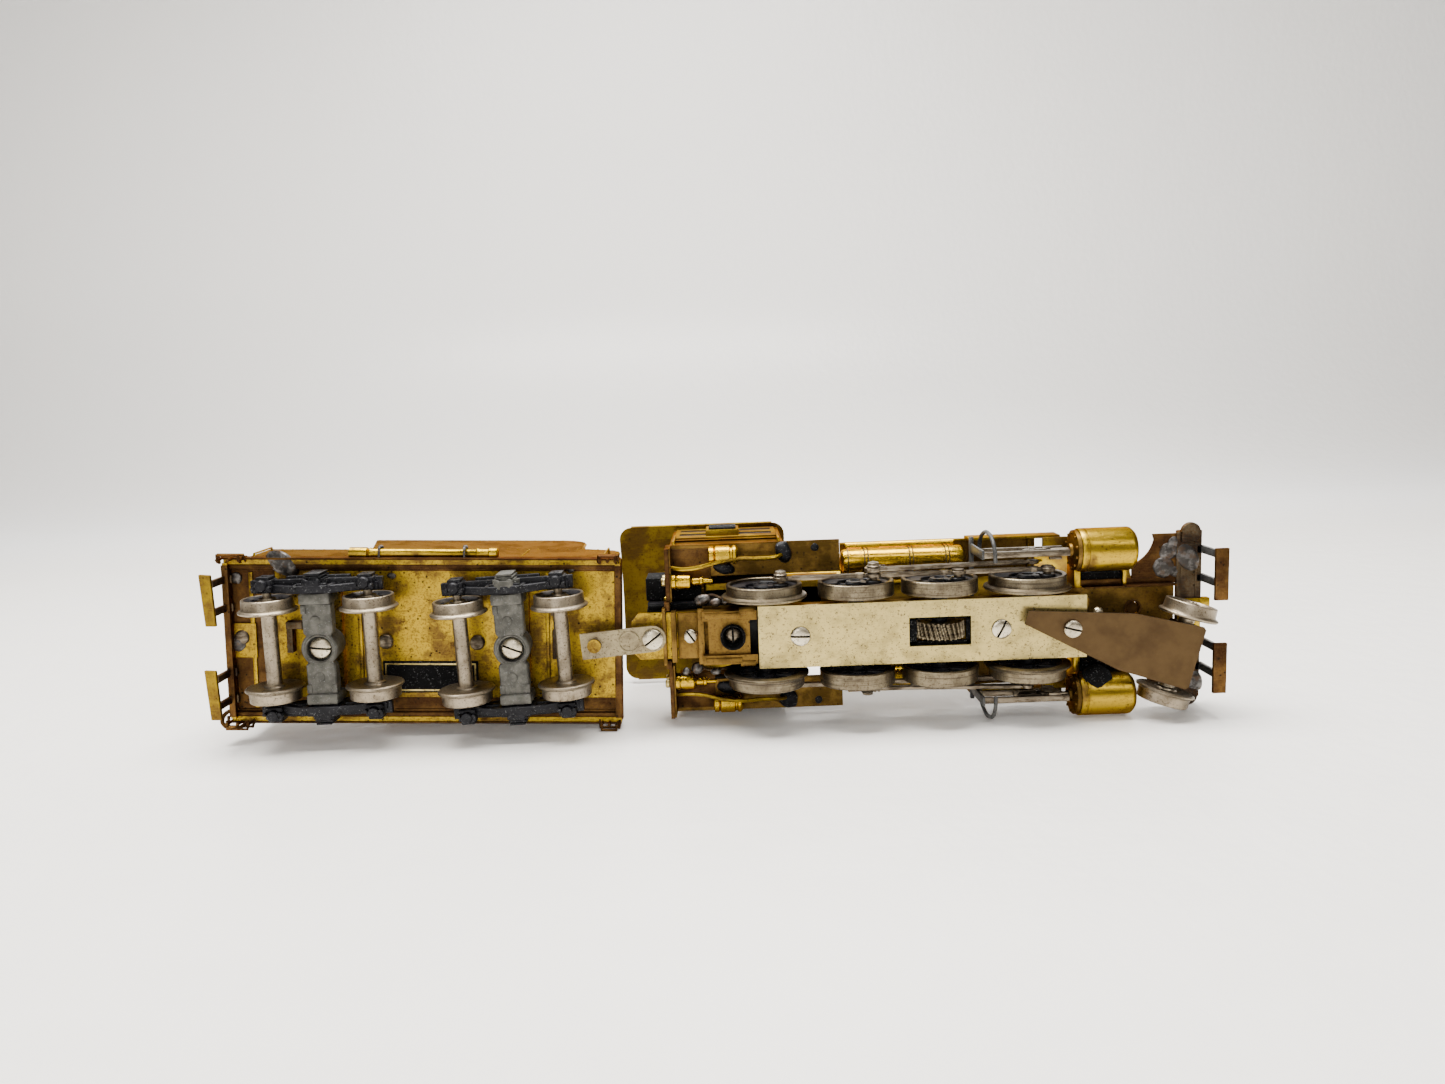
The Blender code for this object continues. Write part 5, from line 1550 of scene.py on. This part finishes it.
class LOCO_OT_cab(bpy.types.Operator):
    """Cab windows and louvres, injectors, pipes, backhead and handrails"""

    bl_idname = "loco.cab"
    bl_label = "Cab details"

    def execute(self, context):
        sizes = context.scene.loco_sizes
        self.windows()
        self.injectors()
        self.roof()
        self.backhead()
        rails = []
        for s in SIDES.values():
            for x in (-17.6, 3.6):
                run = [(x, s * 16.4, 18.6), (x, s * 17.2, 19.0), (x, s * 17.2, 28.0), (x, s * 16.4, 28.4)]
                rails.append(wire(run, sizes.handrail / MM, False))
        piece("cab_handrails", rails, "cylinder_brass")
        return {"FINISHED"}

    def windows(self):
        frames, window_shade_backs = [], []
        for s in SIDES.values():
            rows = ((26.0, 29.6), (32.0, 35.6), (38.0, 41.2))
            openings = [
                [(a, low), (b, low), (b, high), (a, high)]
                for low, high in rows
                for a, b in ((-16.9, -7.7), (-6.7, 2.8))
            ]
            plate = [(-17.8, 24.6), (3.7, 24.6), (3.7, 42.8), (-17.8, 42.8)]
            frames += [
                sheet(plate, *span(s, 16.58, 16.7), "Y", openings, 0.02),
                block((-17.6, 3.5), span(s, 16.9, 17.3), (24.2, 24.9), 0.1),
            ]
            # Painted shade: a black sheet behind the openings stands in for the shadow inside the cab.
            window_shade_backs.append(block((-17.3, 3.2), span(s, 16.42, 16.54), (25.2, 42.0), 0))
        piece("cab_side_frames", frames, "sheet_brass")
        piece("cab_louvre_shade_backs", window_shade_backs, "matte_black_and_shade")
        box = [block((-10.6, -4.8), (-18.3, -16.5), (31.4, 37.0), 0.2)]
        frame_box = [block((-11.2, -4.2), (-17.9, -16.4), (30.8, 37.6), 0.15)]
        piece("cab_side_box", box, "matte_black_and_shade")
        piece("cab_side_box_frame", frame_box, "sheet_brass")

    def injectors(self):
        bodies, pipes, lumps = [], [], []
        for s in SIDES.values():
            rings_of = [
                (0.9, -10.6), (1.75, -10.4), (1.75, -9.6), (1.5, -9.4), (1.85, -9.1), (1.85, -6.4),
                (1.55, -6.2), (1.55, -5.9), (1.85, -5.7), (1.85, -5.2), (1.3, -4.7), (0.8, -4.6),
            ]
            bodies.append(turned(rings_of, "X", (0, s * 15.0, 13.6), 36))
            nozzle = [
                (1.0, -18.0), (1.55, -17.9), (1.6, -17.2), (1.4, -17.0), (1.5, -16.6), (1.5, -14.4),
                (1.2, -14.0), (0.75, -13.8), (0.7, -12.6), (0.9, -12.4), (0.9, -11.9), (0.5, -11.7),
                (0.45, -9.9), (0.3, -9.8),
            ]
            bodies += [
                turned(nozzle, "X", (0, s * 10.1, 12.6), 36),
                bar_between((-19.6, s * 10.1, 12.6), (-17.6, s * 10.1, 12.6), 0.8, 16),
            ]
            run = [
                (-18.6, s * 12.9, 13.4), (-15.6, s * 12.6, 12.6), (-12.4, s * 12.9, 12.4),
                (-8.6, s * 13.9, 12.2), (-5.2, s * 14.3, 12.2), (-1.0, s * 14.2, 12.6), (2.6, s * 14.3, 12.9),
                (4.2, s * 14.6, 14.6),
            ]
            pipes.append(wire(run, 0.42))
            lumps += [
                blob((4.4, s * 14.9, 15.0), (1.5, 2.4, 1.2), 41 + s),
                blob((-7.6, s * 12.2, 15.3), (2.4, 1.3, 0.6), 44 + s),
                blob((10.6, s * 15.6, 15.5), (0.8, 0.9, 0.25), 47 + s),
            ]
        piece("injectors", bodies, "turned_brass")
        piece("injector_pipes", pipes, "cylinder_brass")
        piece("cab_floor_solder", lumps, "dark_casting")
        edge = both((-19.1, -18.3), (6.4, 17.0), (10.4, 16.8), 0.12)
        edge += both((-19.5, -18.4), (5.0, 6.6), (9.4, 12.0), 0.15)
        edge += both((-18.4, -10.2), (9.0, 16.2), (15.25, 15.6), 0.08)
        piece("cab_rear_edge", edge, "rust_brass")
        stains = both((-18.0, 15.3), (10.8, 16.8), (15.52, 15.62), 0)
        piece("cab_floor_stain", stains, "aged_floor")
        knobs = [
            turned([(0.7, -20.0), (0.9, -19.8), (0.9, -19.3), (0.6, -19.0)], "X", (0, s * 10.2, z), 20)
            for s in SIDES.values()
            for z in (12.4, 15.8)
        ]
        piece("edge_rivets", knobs, "nickel")

    def roof(self):
        low, high, half = -31.0, 6.2, 17.4
        ribs = []
        for x in (-29.8, -18.0, -6.0, 5.0):
            run = [
                (x, y, 44.85 + 4.2 * (1 - (y / half) ** 2))
                for y in [half * 0.94 * (i / 6 - 1) for i in range(13)]
            ]
            ribs.append(wire(run, 0.22))
        hatch = blocks(
            ((-12.6, -5.0), (-4.4, 4.4), (48.3, 49.4), 0.25), ((-13.0, -4.6), (-4.8, 4.8), (49.2, 49.6), 0.15)
        )
        rim = [
            bar_between((low + 2.8, s * half, 44.35), (high - 2.8, s * half, 44.35), 0.35, 10)
            for s in SIDES.values()
        ]
        whistle = turned([(0.6, 48.4), (0.6, 49.2), (0.9, 49.3), (0.9, 49.9)], "Z", (2.2, 3.4, 0), 24, 0.06)
        piece("roof_fittings", ribs + hatch + rim + [whistle], "sheet_brass")

    def backhead(self):
        dial = [
            turned([(r, -13.2), (r, -12.6), (r * 0.85, -12.0)], "X", (0, y, z), 24)
            for r, y, z in ((1.5, 0, 38.0), (0.9, -3.4, 36.6), (0.9, 3.4, 36.6))
        ]
        door = blocks(
            ((-12.9, -12.0), (-3.0, 3.0), (24.6, 30.4), 0.3), ((-13.4, -12.6), (-2.4, 2.4), (25.2, 29.8), 0.3)
        )
        valves = [
            turned([(0.9, -14.6), (0.9, -14.2), (0.3, -14.1), (0.3, -12.0)], "X", (0, y, z), 16)
            for y, z in ((-6.4, 33.0), (6.4, 33.0), (-7.4, 28.4), (7.4, 28.4))
        ]
        levers = [
            bar_between((-12.2, 5.0, 33.8), (-15.8, 7.6, 34.8), 0.28, 10),
            bar_between((-12.2, -2.6, 34.4), (-15.0, -6.4, 33.6), 0.28, 10),
        ]
        pipes = [
            wire(
                [(-12.2, y, 35.0), (-13.4, y * 1.1, 34.0), (-13.4, y * 1.2, 26.0), (-12.4, y * 1.25, 22.0)],
                0.28,
            )
            for y in (-5.2, 5.2, -6.4, 6.4)
        ]
        piece("backhead_fittings", dial + door + valves + levers + pipes, "cylinder_brass")


class LOCO_OT_boiler(bpy.types.Operator):
    """Boiler with bands, domes, smokebox, stack, rails, bell, lamp and air tanks"""

    bl_idname = "loco.boiler"
    bl_label = "Boiler and fittings"

    def execute(self, context):
        sizes = context.scene.loco_sizes
        z = BOILER_Z
        profile = [
            (9.8, -12.0), (10.35, -11.9), (10.5, -11.6), (10.5, 56.2), (10.9, 56.5), (10.9, 75.4),
            (10.7, 76.0), (10.3, 76.2),
        ]
        shell = turned(profile, "X", (0, 0, z), 96)
        bands = [
            ring([(10.45, x), (10.68, x), (10.68, x + 0.9), (10.45, x + 0.9)], "X", (0, 0, z), 96)
            for x in (7.0, 19.5, 32.0, 44.5, 54.0)
        ]
        firebox = block((-11.4, 15.9), (-8.75, 8.75), (17.3, z - 1), 0.3)
        saddle = block((60.6, 70.9), (-4.9, 4.9), (20.0, 23), 0.3)
        room = block((-14, 12), (-7.4, 7.4), (16, 26.8), 0)
        slot = block((11, 18), (-7.4, 7.4), (16, 20.4), 0)
        cut(firebox, room, keep=True)
        cut(firebox, slot)
        cut(shell, room)
        piece("boiler_shell", [shell, *bands, firebox, saddle], "sheet_brass", replaces=["boiler"])
        self.smokebox(z)
        self.domes()
        self.rails(z, sizes)
        self.lamp_and_bell()
        self.tanks(sizes)
        self.boards()
        return {"FINISHED"}

    def smokebox(self, z):
        front = turned(
            [
                (10.35, 76.15), (9.0, 76.3), (7.7, 76.4), (7.6, 76.9), (7.2, 77.1), (5.6, 77.7), (3.4, 78.05),
                (1.6, 78.2), (1.4, 78.9), (0.8, 79.1),
            ],
            "X", (0, 0, z), 64,
        )
        dog_places = [
            Matrix.Translation((0, 0, z)) @ Matrix.Rotation(WHOLE_TURN * i / 12, 4, "X")
            for i in range(12)
        ]
        dogs = with_copies(block((76.4, 77.6), (7.2, 8.6), (-0.35, 0.35), 0.1), dog_places)
        hinges = [block((77.2, 77.8), (-7.6, -1.0), (z + h - 0.5, z + h + 0.5), 0.15) for h in (-2.6, 2.6)]
        seed = rivet_head(0.24)
        heads = []
        for x in (57.4, 75.0):
            for i in range(44):
                turn = Matrix.Rotation(WHOLE_TURN * i / 44, 4, "X")
                heads.append(
                    copied(seed, Matrix.Translation((x, 0, z)) @ turn @ Matrix.Translation((0, 0, 10.85)))
                )
        bpy.data.objects.remove(seed, do_unlink=True)
        piece("smokebox_front", [front, *dogs, *hinges], "cylinder_brass")
        piece("smokebox_rivets", heads, "sheet_brass")
        stack = ring(
            [
                (2.1, 50.2), (3.3, 50.2), (3.45, 50.0), (3.45, 49.4), (3.0, 48.9), (2.7, 48.2), (2.5, 45.2),
                (2.65, 44.0), (3.1, 43.0), (4.2, 42.3), (4.0, 41.4), (2.1, 41.4),
            ],
            "Z", (68.5, 0, 0), 64,
        )
        piece("stack", [stack], "turned_brass", replaces=["smoke_stack"])

    def domes(self):
        steam = [
            (5.6, 39.6), (5.2, 40.6), (4.5, 41.6), (4.3, 42.4), (4.3, 43.7), (4.1, 44.6), (3.6, 45.5),
            (2.6, 46.3), (1.4, 46.7), (0.3, 46.8),
        ]
        sand = [
            (5.2, 39.4), (4.8, 40.6), (4.1, 41.5), (3.9, 42.2), (3.9, 43.3), (3.6, 44.3), (3.0, 45.0),
            (2.2, 45.5), (1.4, 45.8), (1.3, 46.2), (0.3, 46.3),
        ]
        made = [turned(steam, "Z", (29.5, 0, 0), 56), turned(sand, "Z", (47, 0, 0), 56)]
        made += [
            turned([(0.75, 41.0), (0.75, 44.4), (1.0, 44.6), (0.6, 45.6), (0.3, 46.4)], "Z", (x, y, 0), 20)
            for x, y in ((22.2, -1.4), (22.2, 1.4), (20.0, 0.0))
        ]
        for s in SIDES.values():
            made.append(
                wire(
                    [
                        (46.4, s * 3.6, 42.4), (46.0, s * 6.4, 40.4), (45.4, s * 9.4, 36.6),
                        (45.0, s * 10.7, 32.0), (44.4, s * 10.2, 27.0), (43.6, s * 9.0, 23.4),
                    ],
                    0.3,
                )
            )
        piece("domes_and_valves", made, "turned_brass")

    def rails(self, z, sizes):
        radius = sizes.handrail / MM
        made = []
        for s in SIDES.values():
            high = z + 6.2
            made.append(
                wire(
                    [(5.0, s * 9.3, high), (70.0, s * 9.6, high), (74.0, s * 8.9, high + 1.2)], radius, False
                )
            )
            for x in (8.0, 20.0, 32.0, 44.0, 56.0, 66.0):
                made += [
                    bar_between((x, s * 8.2, high - 0.1), (x, s * 9.4, high), 0.28, 8),
                    turned([(0.4, -0.3), (0.45, 0.0), (0.4, 0.3)], "X", (x, s * 9.4, high), 10),
                ]
            made += [
                wire(
                    [
                        (16.4, s * 9.6, 24.4), (30.0, s * 10.2, 24.2), (54.0, s * 10.2, 24.2),
                        (58.6, s * 9.4, 26.0),
                    ],
                    0.42,
                ),
                wire(
                    [
                        (10.0, s * 10.8, 34.0), (24.0, s * 10.8, 34.4), (26.0, s * 10.9, 30.0),
                        (27.0, s * 11.0, 23.0),
                    ],
                    0.3,
                ),
            ]
        piece("boiler_rails_and_pipes", made, "cylinder_brass")

    def lamp_and_bell(self):
        lamp = [
            turned(
                [
                    (1.2, 76.6), (2.0, 76.9), (2.3, 77.6), (2.3, 79.8), (2.45, 80.0), (2.45, 80.3),
                    (2.1, 80.35),
                ],
                "X", (0, 0, 41.4), 40,
            ),
            block((77.2, 79.6), (-1.7, 1.7), (37.4, 39.3), 0.3),
            block((74.6, 79.6), (-2.0, 2.0), (36.8, 37.5), 0.15),
            turned([(1.0, 43.5), (1.0, 44.4), (0.5, 44.7)], "Z", (78.6, 0, 0), 24),
        ]
        piece("headlamp", lamp, "cylinder_brass")
        lens = turned([(2.0, 80.2), (1.7, 80.5), (0.9, 80.75), (0.2, 80.8)], "X", (0, 0, 41.4), 40)
        piece("headlamp_lens", [lens], "screw")
        bell = [
            turned(
                [(1.9, 42.4), (1.75, 42.7), (1.4, 43.4), (1.2, 44.6), (0.8, 45.3), (0.3, 45.5)],
                "Z", (38.4, 0, 0), 40,
            ),
            bar_between((38.4, -2.3, 45.0), (38.4, 2.3, 45.0), 0.3, 12),
        ]
        bell += [
            wire([(38.4, s * 2.2, 45.0), (38.4, s * 2.5, 43.4), (38.4, s * 2.7, 41.0)], 0.32)
            for s in SIDES.values()
        ]
        piece("bell", bell, "turned_brass")

    def tanks(self, sizes):
        for side, s in SIDES.items():
            profile = [
                (0.4, 15.8), (1.7, 16.0), (2.3, 16.4), (2.5, 16.9), (2.5, 20.6), (2.58, 20.7), (2.58, 21.2),
                (2.5, 21.3), (2.5, 29.6), (2.58, 29.7), (2.58, 30.2), (2.5, 30.3), (2.5, 36.8), (2.58, 36.9),
                (2.58, 37.4), (2.5, 37.5), (2.5, 39.8), (2.3, 40.3), (1.7, 40.6), (0.4, 40.8),
            ]
            tank = turned(profile, "X", (0, s * 12.05, 18.6), sizes.sides)
            pipe = turned([(0.6, 17.0), (0.9, 17.2), (0.9, 39.0), (0.6, 39.3)], "X", (0, s * 14.75, 20.6), 28)
            straps = [block((x, x + 1.0), span(s, 11.5, 12.6), (20.9, 22.3), 0.1) for x in (21.0, 35.6)]
            bands = [
                ring(
                    [(2.48, x), (2.66, x), (2.66, x + 0.22), (2.48, x + 0.22)],
                    "X", (0, s * 12.05, 18.6), sizes.sides,
                )
                for x in (17.2, 20.5, 21.2, 29.5, 30.2, 36.7, 37.4)
            ]
            piece(f"air_tank_bands_{side}", bands, "dark_brass")
            piece(
                f"air_tank_shell_{side}", [tank, pipe, *straps], "turned_brass", replaces=[f"air_tank_{side}"]
            )

    def boards(self):
        lips, braces = [], []
        for s in SIDES.values():
            lips += blocks(
                ((16.3, 56.0), (14.9, 15.3), (21.7, 23.0), 0.1),
                ((41.6, 60.0), (15.4, 16.0), (17.6, 21.8), 0.12),
                ((56.4, 61.4), (12.6, 15.6), (17.2, 18.0), 0.12),
                side=s,
            )
            for x in (18.0, 30.6, 42.6, 54.6):
                braces.append(block((x, x + 0.8), span(s, 8.0, 14.8), (21.6, 22.3), 0.08))
        piece("running_board_lips", lips + braces, "sheet_brass")


class LOCO_OT_motor(bpy.types.Operator):
    """Brush caps, springs and end screws of the motor"""

    bl_idname = "loco.motor"
    bl_label = "Motor details"

    def execute(self, context):
        caps = [
            turned([(1.25, s * 5.5), (1.25, s * 6.3), (0.9, s * 6.6)], "Y", (-19.2, 0, 17.8), 24, 0.06)
            for s in SIDES.values()
        ]
        caps += [
            wire([(-19.2, s * 6.4, 17.8), (-16.0, s * 6.9, 19.8), (-12.6, s * 6.6, 22.0)], 0.2)
            for s in SIDES.values()
        ]
        piece("brush_caps", caps, "turned_brass")
        screws = [screw_head((-21.6, y, 21.6), 0.95, 0.5, 30, 1) for y in (-1.8, 1.8)]
        piece("motor_end_screws", screws, "screw")
        chamfers = both((-22.9, -11.2), (4.4, 5.5), (13.4, 14.3), 0.35)
        chamfers += blocks(
            ((-23.2, -22.6), (-4.6, 4.6), (14.6, 18.4), 0.2),
            ((-23.4, -12.4), (-10.3, -5.7), (16.8, 24.0), 0.3),
        )
        piece("brush_block_edges", chamfers, "matte_black_and_shade")
        return {"FINISHED"}


class LOCO_OT_studio(bpy.types.Operator):
    """The pale table, its curved backdrop, the lights and the camera"""

    bl_idname = "loco.studio"
    bl_label = "Studio"

    # The camera looks up at the engine's underside; the table touches its left side
    EYE = (3.73, -46.38, -196.74)
    YAW, PITCH, ROLL = -0.004, 0.136, -0.038
    LENS = 26.887
    TABLE_Y = 18.6
    TABLE_END_Z = 420.0
    COVE_R = 150.0

    def execute(self, context):
        studio = context.scene.loco_studio
        self.camera(context)
        self.world(context, studio)
        self.lights(context, studio)
        self.backdrop(studio)
        return {"FINISHED"}

    def camera(self, context):
        data = bpy.data.cameras.new("camera")
        data.sensor_width, data.lens = 36.0, self.LENS
        data.clip_start, data.clip_end = 0.01, 20
        eye = bpy.data.objects.new("camera", data)
        bpy.context.scene.collection.objects.link(eye)
        cy, sy = math.cos(self.YAW), math.sin(self.YAW)
        cp, sp = math.cos(self.PITCH), math.sin(self.PITCH)
        cr, sr = math.cos(self.ROLL), math.sin(self.ROLL)
        flip = Matrix(((1, 0, 0), (0, -1, 0), (0, 0, 1)))
        yaw = Matrix(((cy, 0, -sy), (0, 1, 0), (sy, 0, cy)))
        pitch = Matrix(((1, 0, 0), (0, cp, sp), (0, -sp, cp)))
        roll = Matrix(((cr, sr, 0), (-sr, cr, 0), (0, 0, 1)))
        right, up, forward = (roll @ pitch @ yaw @ flip)
        turn = Matrix((right, up, -forward)).transposed().to_4x4()
        eye.matrix_world = Matrix.Translation(Vector(self.EYE) * MM) @ turn
        context.scene.camera = eye

    def world(self, context, studio):
        world = bpy.data.worlds.new("room")
        world.use_nodes = True
        background = world.node_tree.nodes["Background"]
        tree = world.node_tree
        place = tree.nodes.new("ShaderNodeTexCoord")
        split = tree.nodes.new("ShaderNodeSeparateXYZ")
        ramp = tree.nodes.new("ShaderNodeValToRGB")
        tree.links.new(place.outputs["Generated"], split.inputs[0])
        tree.links.new(split.outputs[2], ramp.inputs[0])
        tree.links.new(ramp.outputs["Color"], background.inputs["Color"])
        dim, lit = ramp.color_ramp.elements
        dim.position, dim.color = 0.0, (0.22, 0.21, 0.195, 1)
        lit.position, lit.color = 0.6, (1.0, 0.99, 0.97, 1)
        background.inputs["Strength"].default_value = studio.room
        context.scene.world = world

    def lights(self, context, studio):
        # name, place, aim, width, height, power
        lamps = (
            ("key_light", (-60, -520, 60), (0, 0, 20), 520, 300, studio.key),
            ("strip_light", (160, -300, -260), (20, 0, 10), 420, 60, studio.fill * 0.5),
            ("camera_light", (-120, -160, -520), (0, 0, 20), 300, 200, studio.fill * 0.6),
            ("upper_light", (80, -260, 420), (0, 0, 20), 400, 240, studio.fill * 0.5),
            ("side_light", (0, 520, 160), (0, 0, 20), 500, 260, studio.fill * 0.9),
        )
        for name, at, aim, width, height, power in lamps:
            data = bpy.data.lights.new(name, "AREA")
            data.shape, data.size, data.size_y, data.energy = "RECTANGLE", width * MM, height * MM, power
            data.color = (1.0, 0.975, 0.94)
            lamp = bpy.data.objects.new(name, data)
            bpy.context.scene.collection.objects.link(lamp)
            lamp.location = Vector(at) * MM
            lamp.rotation_euler = (Vector(aim) - Vector(at)).to_track_quat("-Z", "Y").to_euler()

    def backdrop(self, studio):
        """A table that curves up into a wall, seen only from its front."""
        y, end, radius = self.TABLE_Y, self.TABLE_END_Z, self.COVE_R
        section = [(y, -900.0), (y, end)]
        section += [
            (y - radius + radius * math.cos(a), end + radius * math.sin(a))
            for a in [QUARTER * i / 16 for i in range(1, 17)]
        ]
        section.append((-1400.0, end + radius))
        clear()
        bpy.ops.mesh.primitive_circle_add(vertices=len(section), radius=MM, fill_type="NOTHING")
        obj = bpy.context.object
        for vertex, (v, w) in zip(obj.data.vertices, section):
            vertex.co = (-1500 * MM, v * MM, w * MM)
        bpy.ops.object.mode_set(mode="EDIT")
        bpy.ops.mesh.select_all(action="DESELECT")
        bpy.ops.object.mode_set(mode="OBJECT")
        for edge in obj.data.edges:
            edge.select = set(edge.vertices) == {0, len(section) - 1}
        bpy.ops.object.mode_set(mode="EDIT")
        bpy.ops.mesh.select_mode(type="EDGE")
        bpy.ops.mesh.delete(type="EDGE_FACE")
        bpy.ops.mesh.select_all(action="SELECT")
        bpy.ops.mesh.extrude_region_move(TRANSFORM_OT_translate={"value": (3000 * MM, 0, 0)})
        bpy.ops.mesh.select_mode(type="VERT")
        bpy.ops.object.mode_set(mode="OBJECT")
        obj.name = obj.data.name = "table_and_wall"
        up = Vector((0, -1, 0))
        first = min(obj.data.polygons, key=lambda p: p.center.z)
        if first.normal.dot(up) < 0:
            bpy.ops.object.mode_set(mode="EDIT")
            bpy.ops.mesh.select_all(action="SELECT")
            bpy.ops.mesh.flip_normals()
            bpy.ops.object.mode_set(mode="OBJECT")
        bpy.ops.object.shade_smooth()
        obj.data.materials.append(self.paper(studio))

    def paper(self, studio):
        g = Graph("Pale Table")
        ripple = g.noise(0.05, 3, 0.5, (1.0, 0.3, 2.2))
        weave = g.noise(0.22, 2, 0.4, (1.4, 1.0, 0.7), 4.0)
        far = g.along(2).over(self.TABLE_END_Z, self.TABLE_END_Z + 90)
        tone = g.mix(
            tuple(studio.floor), tuple(c * 0.965 for c in studio.floor), ripple.over(0.35, 0.7) * 0.5
        )
        tone = g.mix(tone, tuple(studio.wall), far)
        # Painted light: a whiter band across the table short of the cove.
        painted_light_band = g.along(2).over(self.TABLE_END_Z - 170, self.TABLE_END_Z - 40) * (1 - far)
        tone = g.mix(tone, (1.0, 1.0, 1.0), painted_light_band)
        # Painted light: the table glows by its own emission, strongest in the painted band.
        painted_glow = g.mix(tuple(c * 0.8 for c in studio.floor), tuple(studio.wall), far)
        painted_glow = g.mix(painted_glow, (1.5, 1.5, 1.48), painted_light_band)
        material = g.finish(tone, 0.36, 0.0, weave * 0.5 + ripple, 0.35)
        g.tree.links.new(painted_glow.socket, g.shader.inputs["Emission Color"])
        g.shader.inputs["Emission Strength"].default_value = 0.12
        tree = g.tree
        clear_back = g.node("ShaderNodeBsdfTransparent", {}, {})
        back = g.node("ShaderNodeNewGeometry", {}, {}, "Backfacing")
        shader = Value(g, g.shader.outputs[0])
        both = g.node("ShaderNodeMixShader", {}, {0: back, 1: shader, 2: clear_back})
        tree.links.new(both.socket, tree.nodes["Material Output"].inputs["Surface"])
        return material


class LOCO_PT_panel(bpy.types.Panel):
    bl_idname = "LOCO_PT_panel"
    bl_label = "Model Steam Locomotive"
    bl_space_type = "VIEW_3D"
    bl_region_type = "UI"
    bl_category = "Locomotive"

    def draw(self, context):
        for group in (context.scene.loco_colours, context.scene.loco_sizes, context.scene.loco_studio):
            column = self.layout.column()
            for name in group.__annotations__:
                column.prop(group, name)
        for step in STEPS:
            self.layout.operator(step.bl_idname)


STEPS = (
    LOCO_OT_metals, LOCO_OT_drivers, LOCO_OT_small_wheels, LOCO_OT_rods, LOCO_OT_cylinders,
    LOCO_OT_underframe, LOCO_OT_pilot, LOCO_OT_trucks, LOCO_OT_tender, LOCO_OT_cab, LOCO_OT_boiler,
    LOCO_OT_motor, LOCO_OT_studio,
)
GROUPS = {"loco_colours": LocomotiveColours, "loco_sizes": LocomotiveSizes, "loco_studio": StudioSettings}


def register():
    for name, group in GROUPS.items():
        bpy.utils.register_class(group)
        setattr(bpy.types.Scene, name, bpy.props.PointerProperty(type=group))
    for item in (*STEPS, LOCO_PT_panel):
        bpy.utils.register_class(item)


def unregister():
    for item in reversed((*STEPS, LOCO_PT_panel)):
        bpy.utils.unregister_class(item)
    for name, group in GROUPS.items():
        delattr(bpy.types.Scene, name)
        bpy.utils.unregister_class(group)


def plain(bounds):
    """The box's corners as plain lists."""
    return [[float(v) for v in corner] for corner in bounds]


def main():
    register()
    for step in STEPS:
        group, name = step.bl_idname.split(".")
        getattr(getattr(bpy.ops, group), name)()


if __name__ == "__main__":
    main()
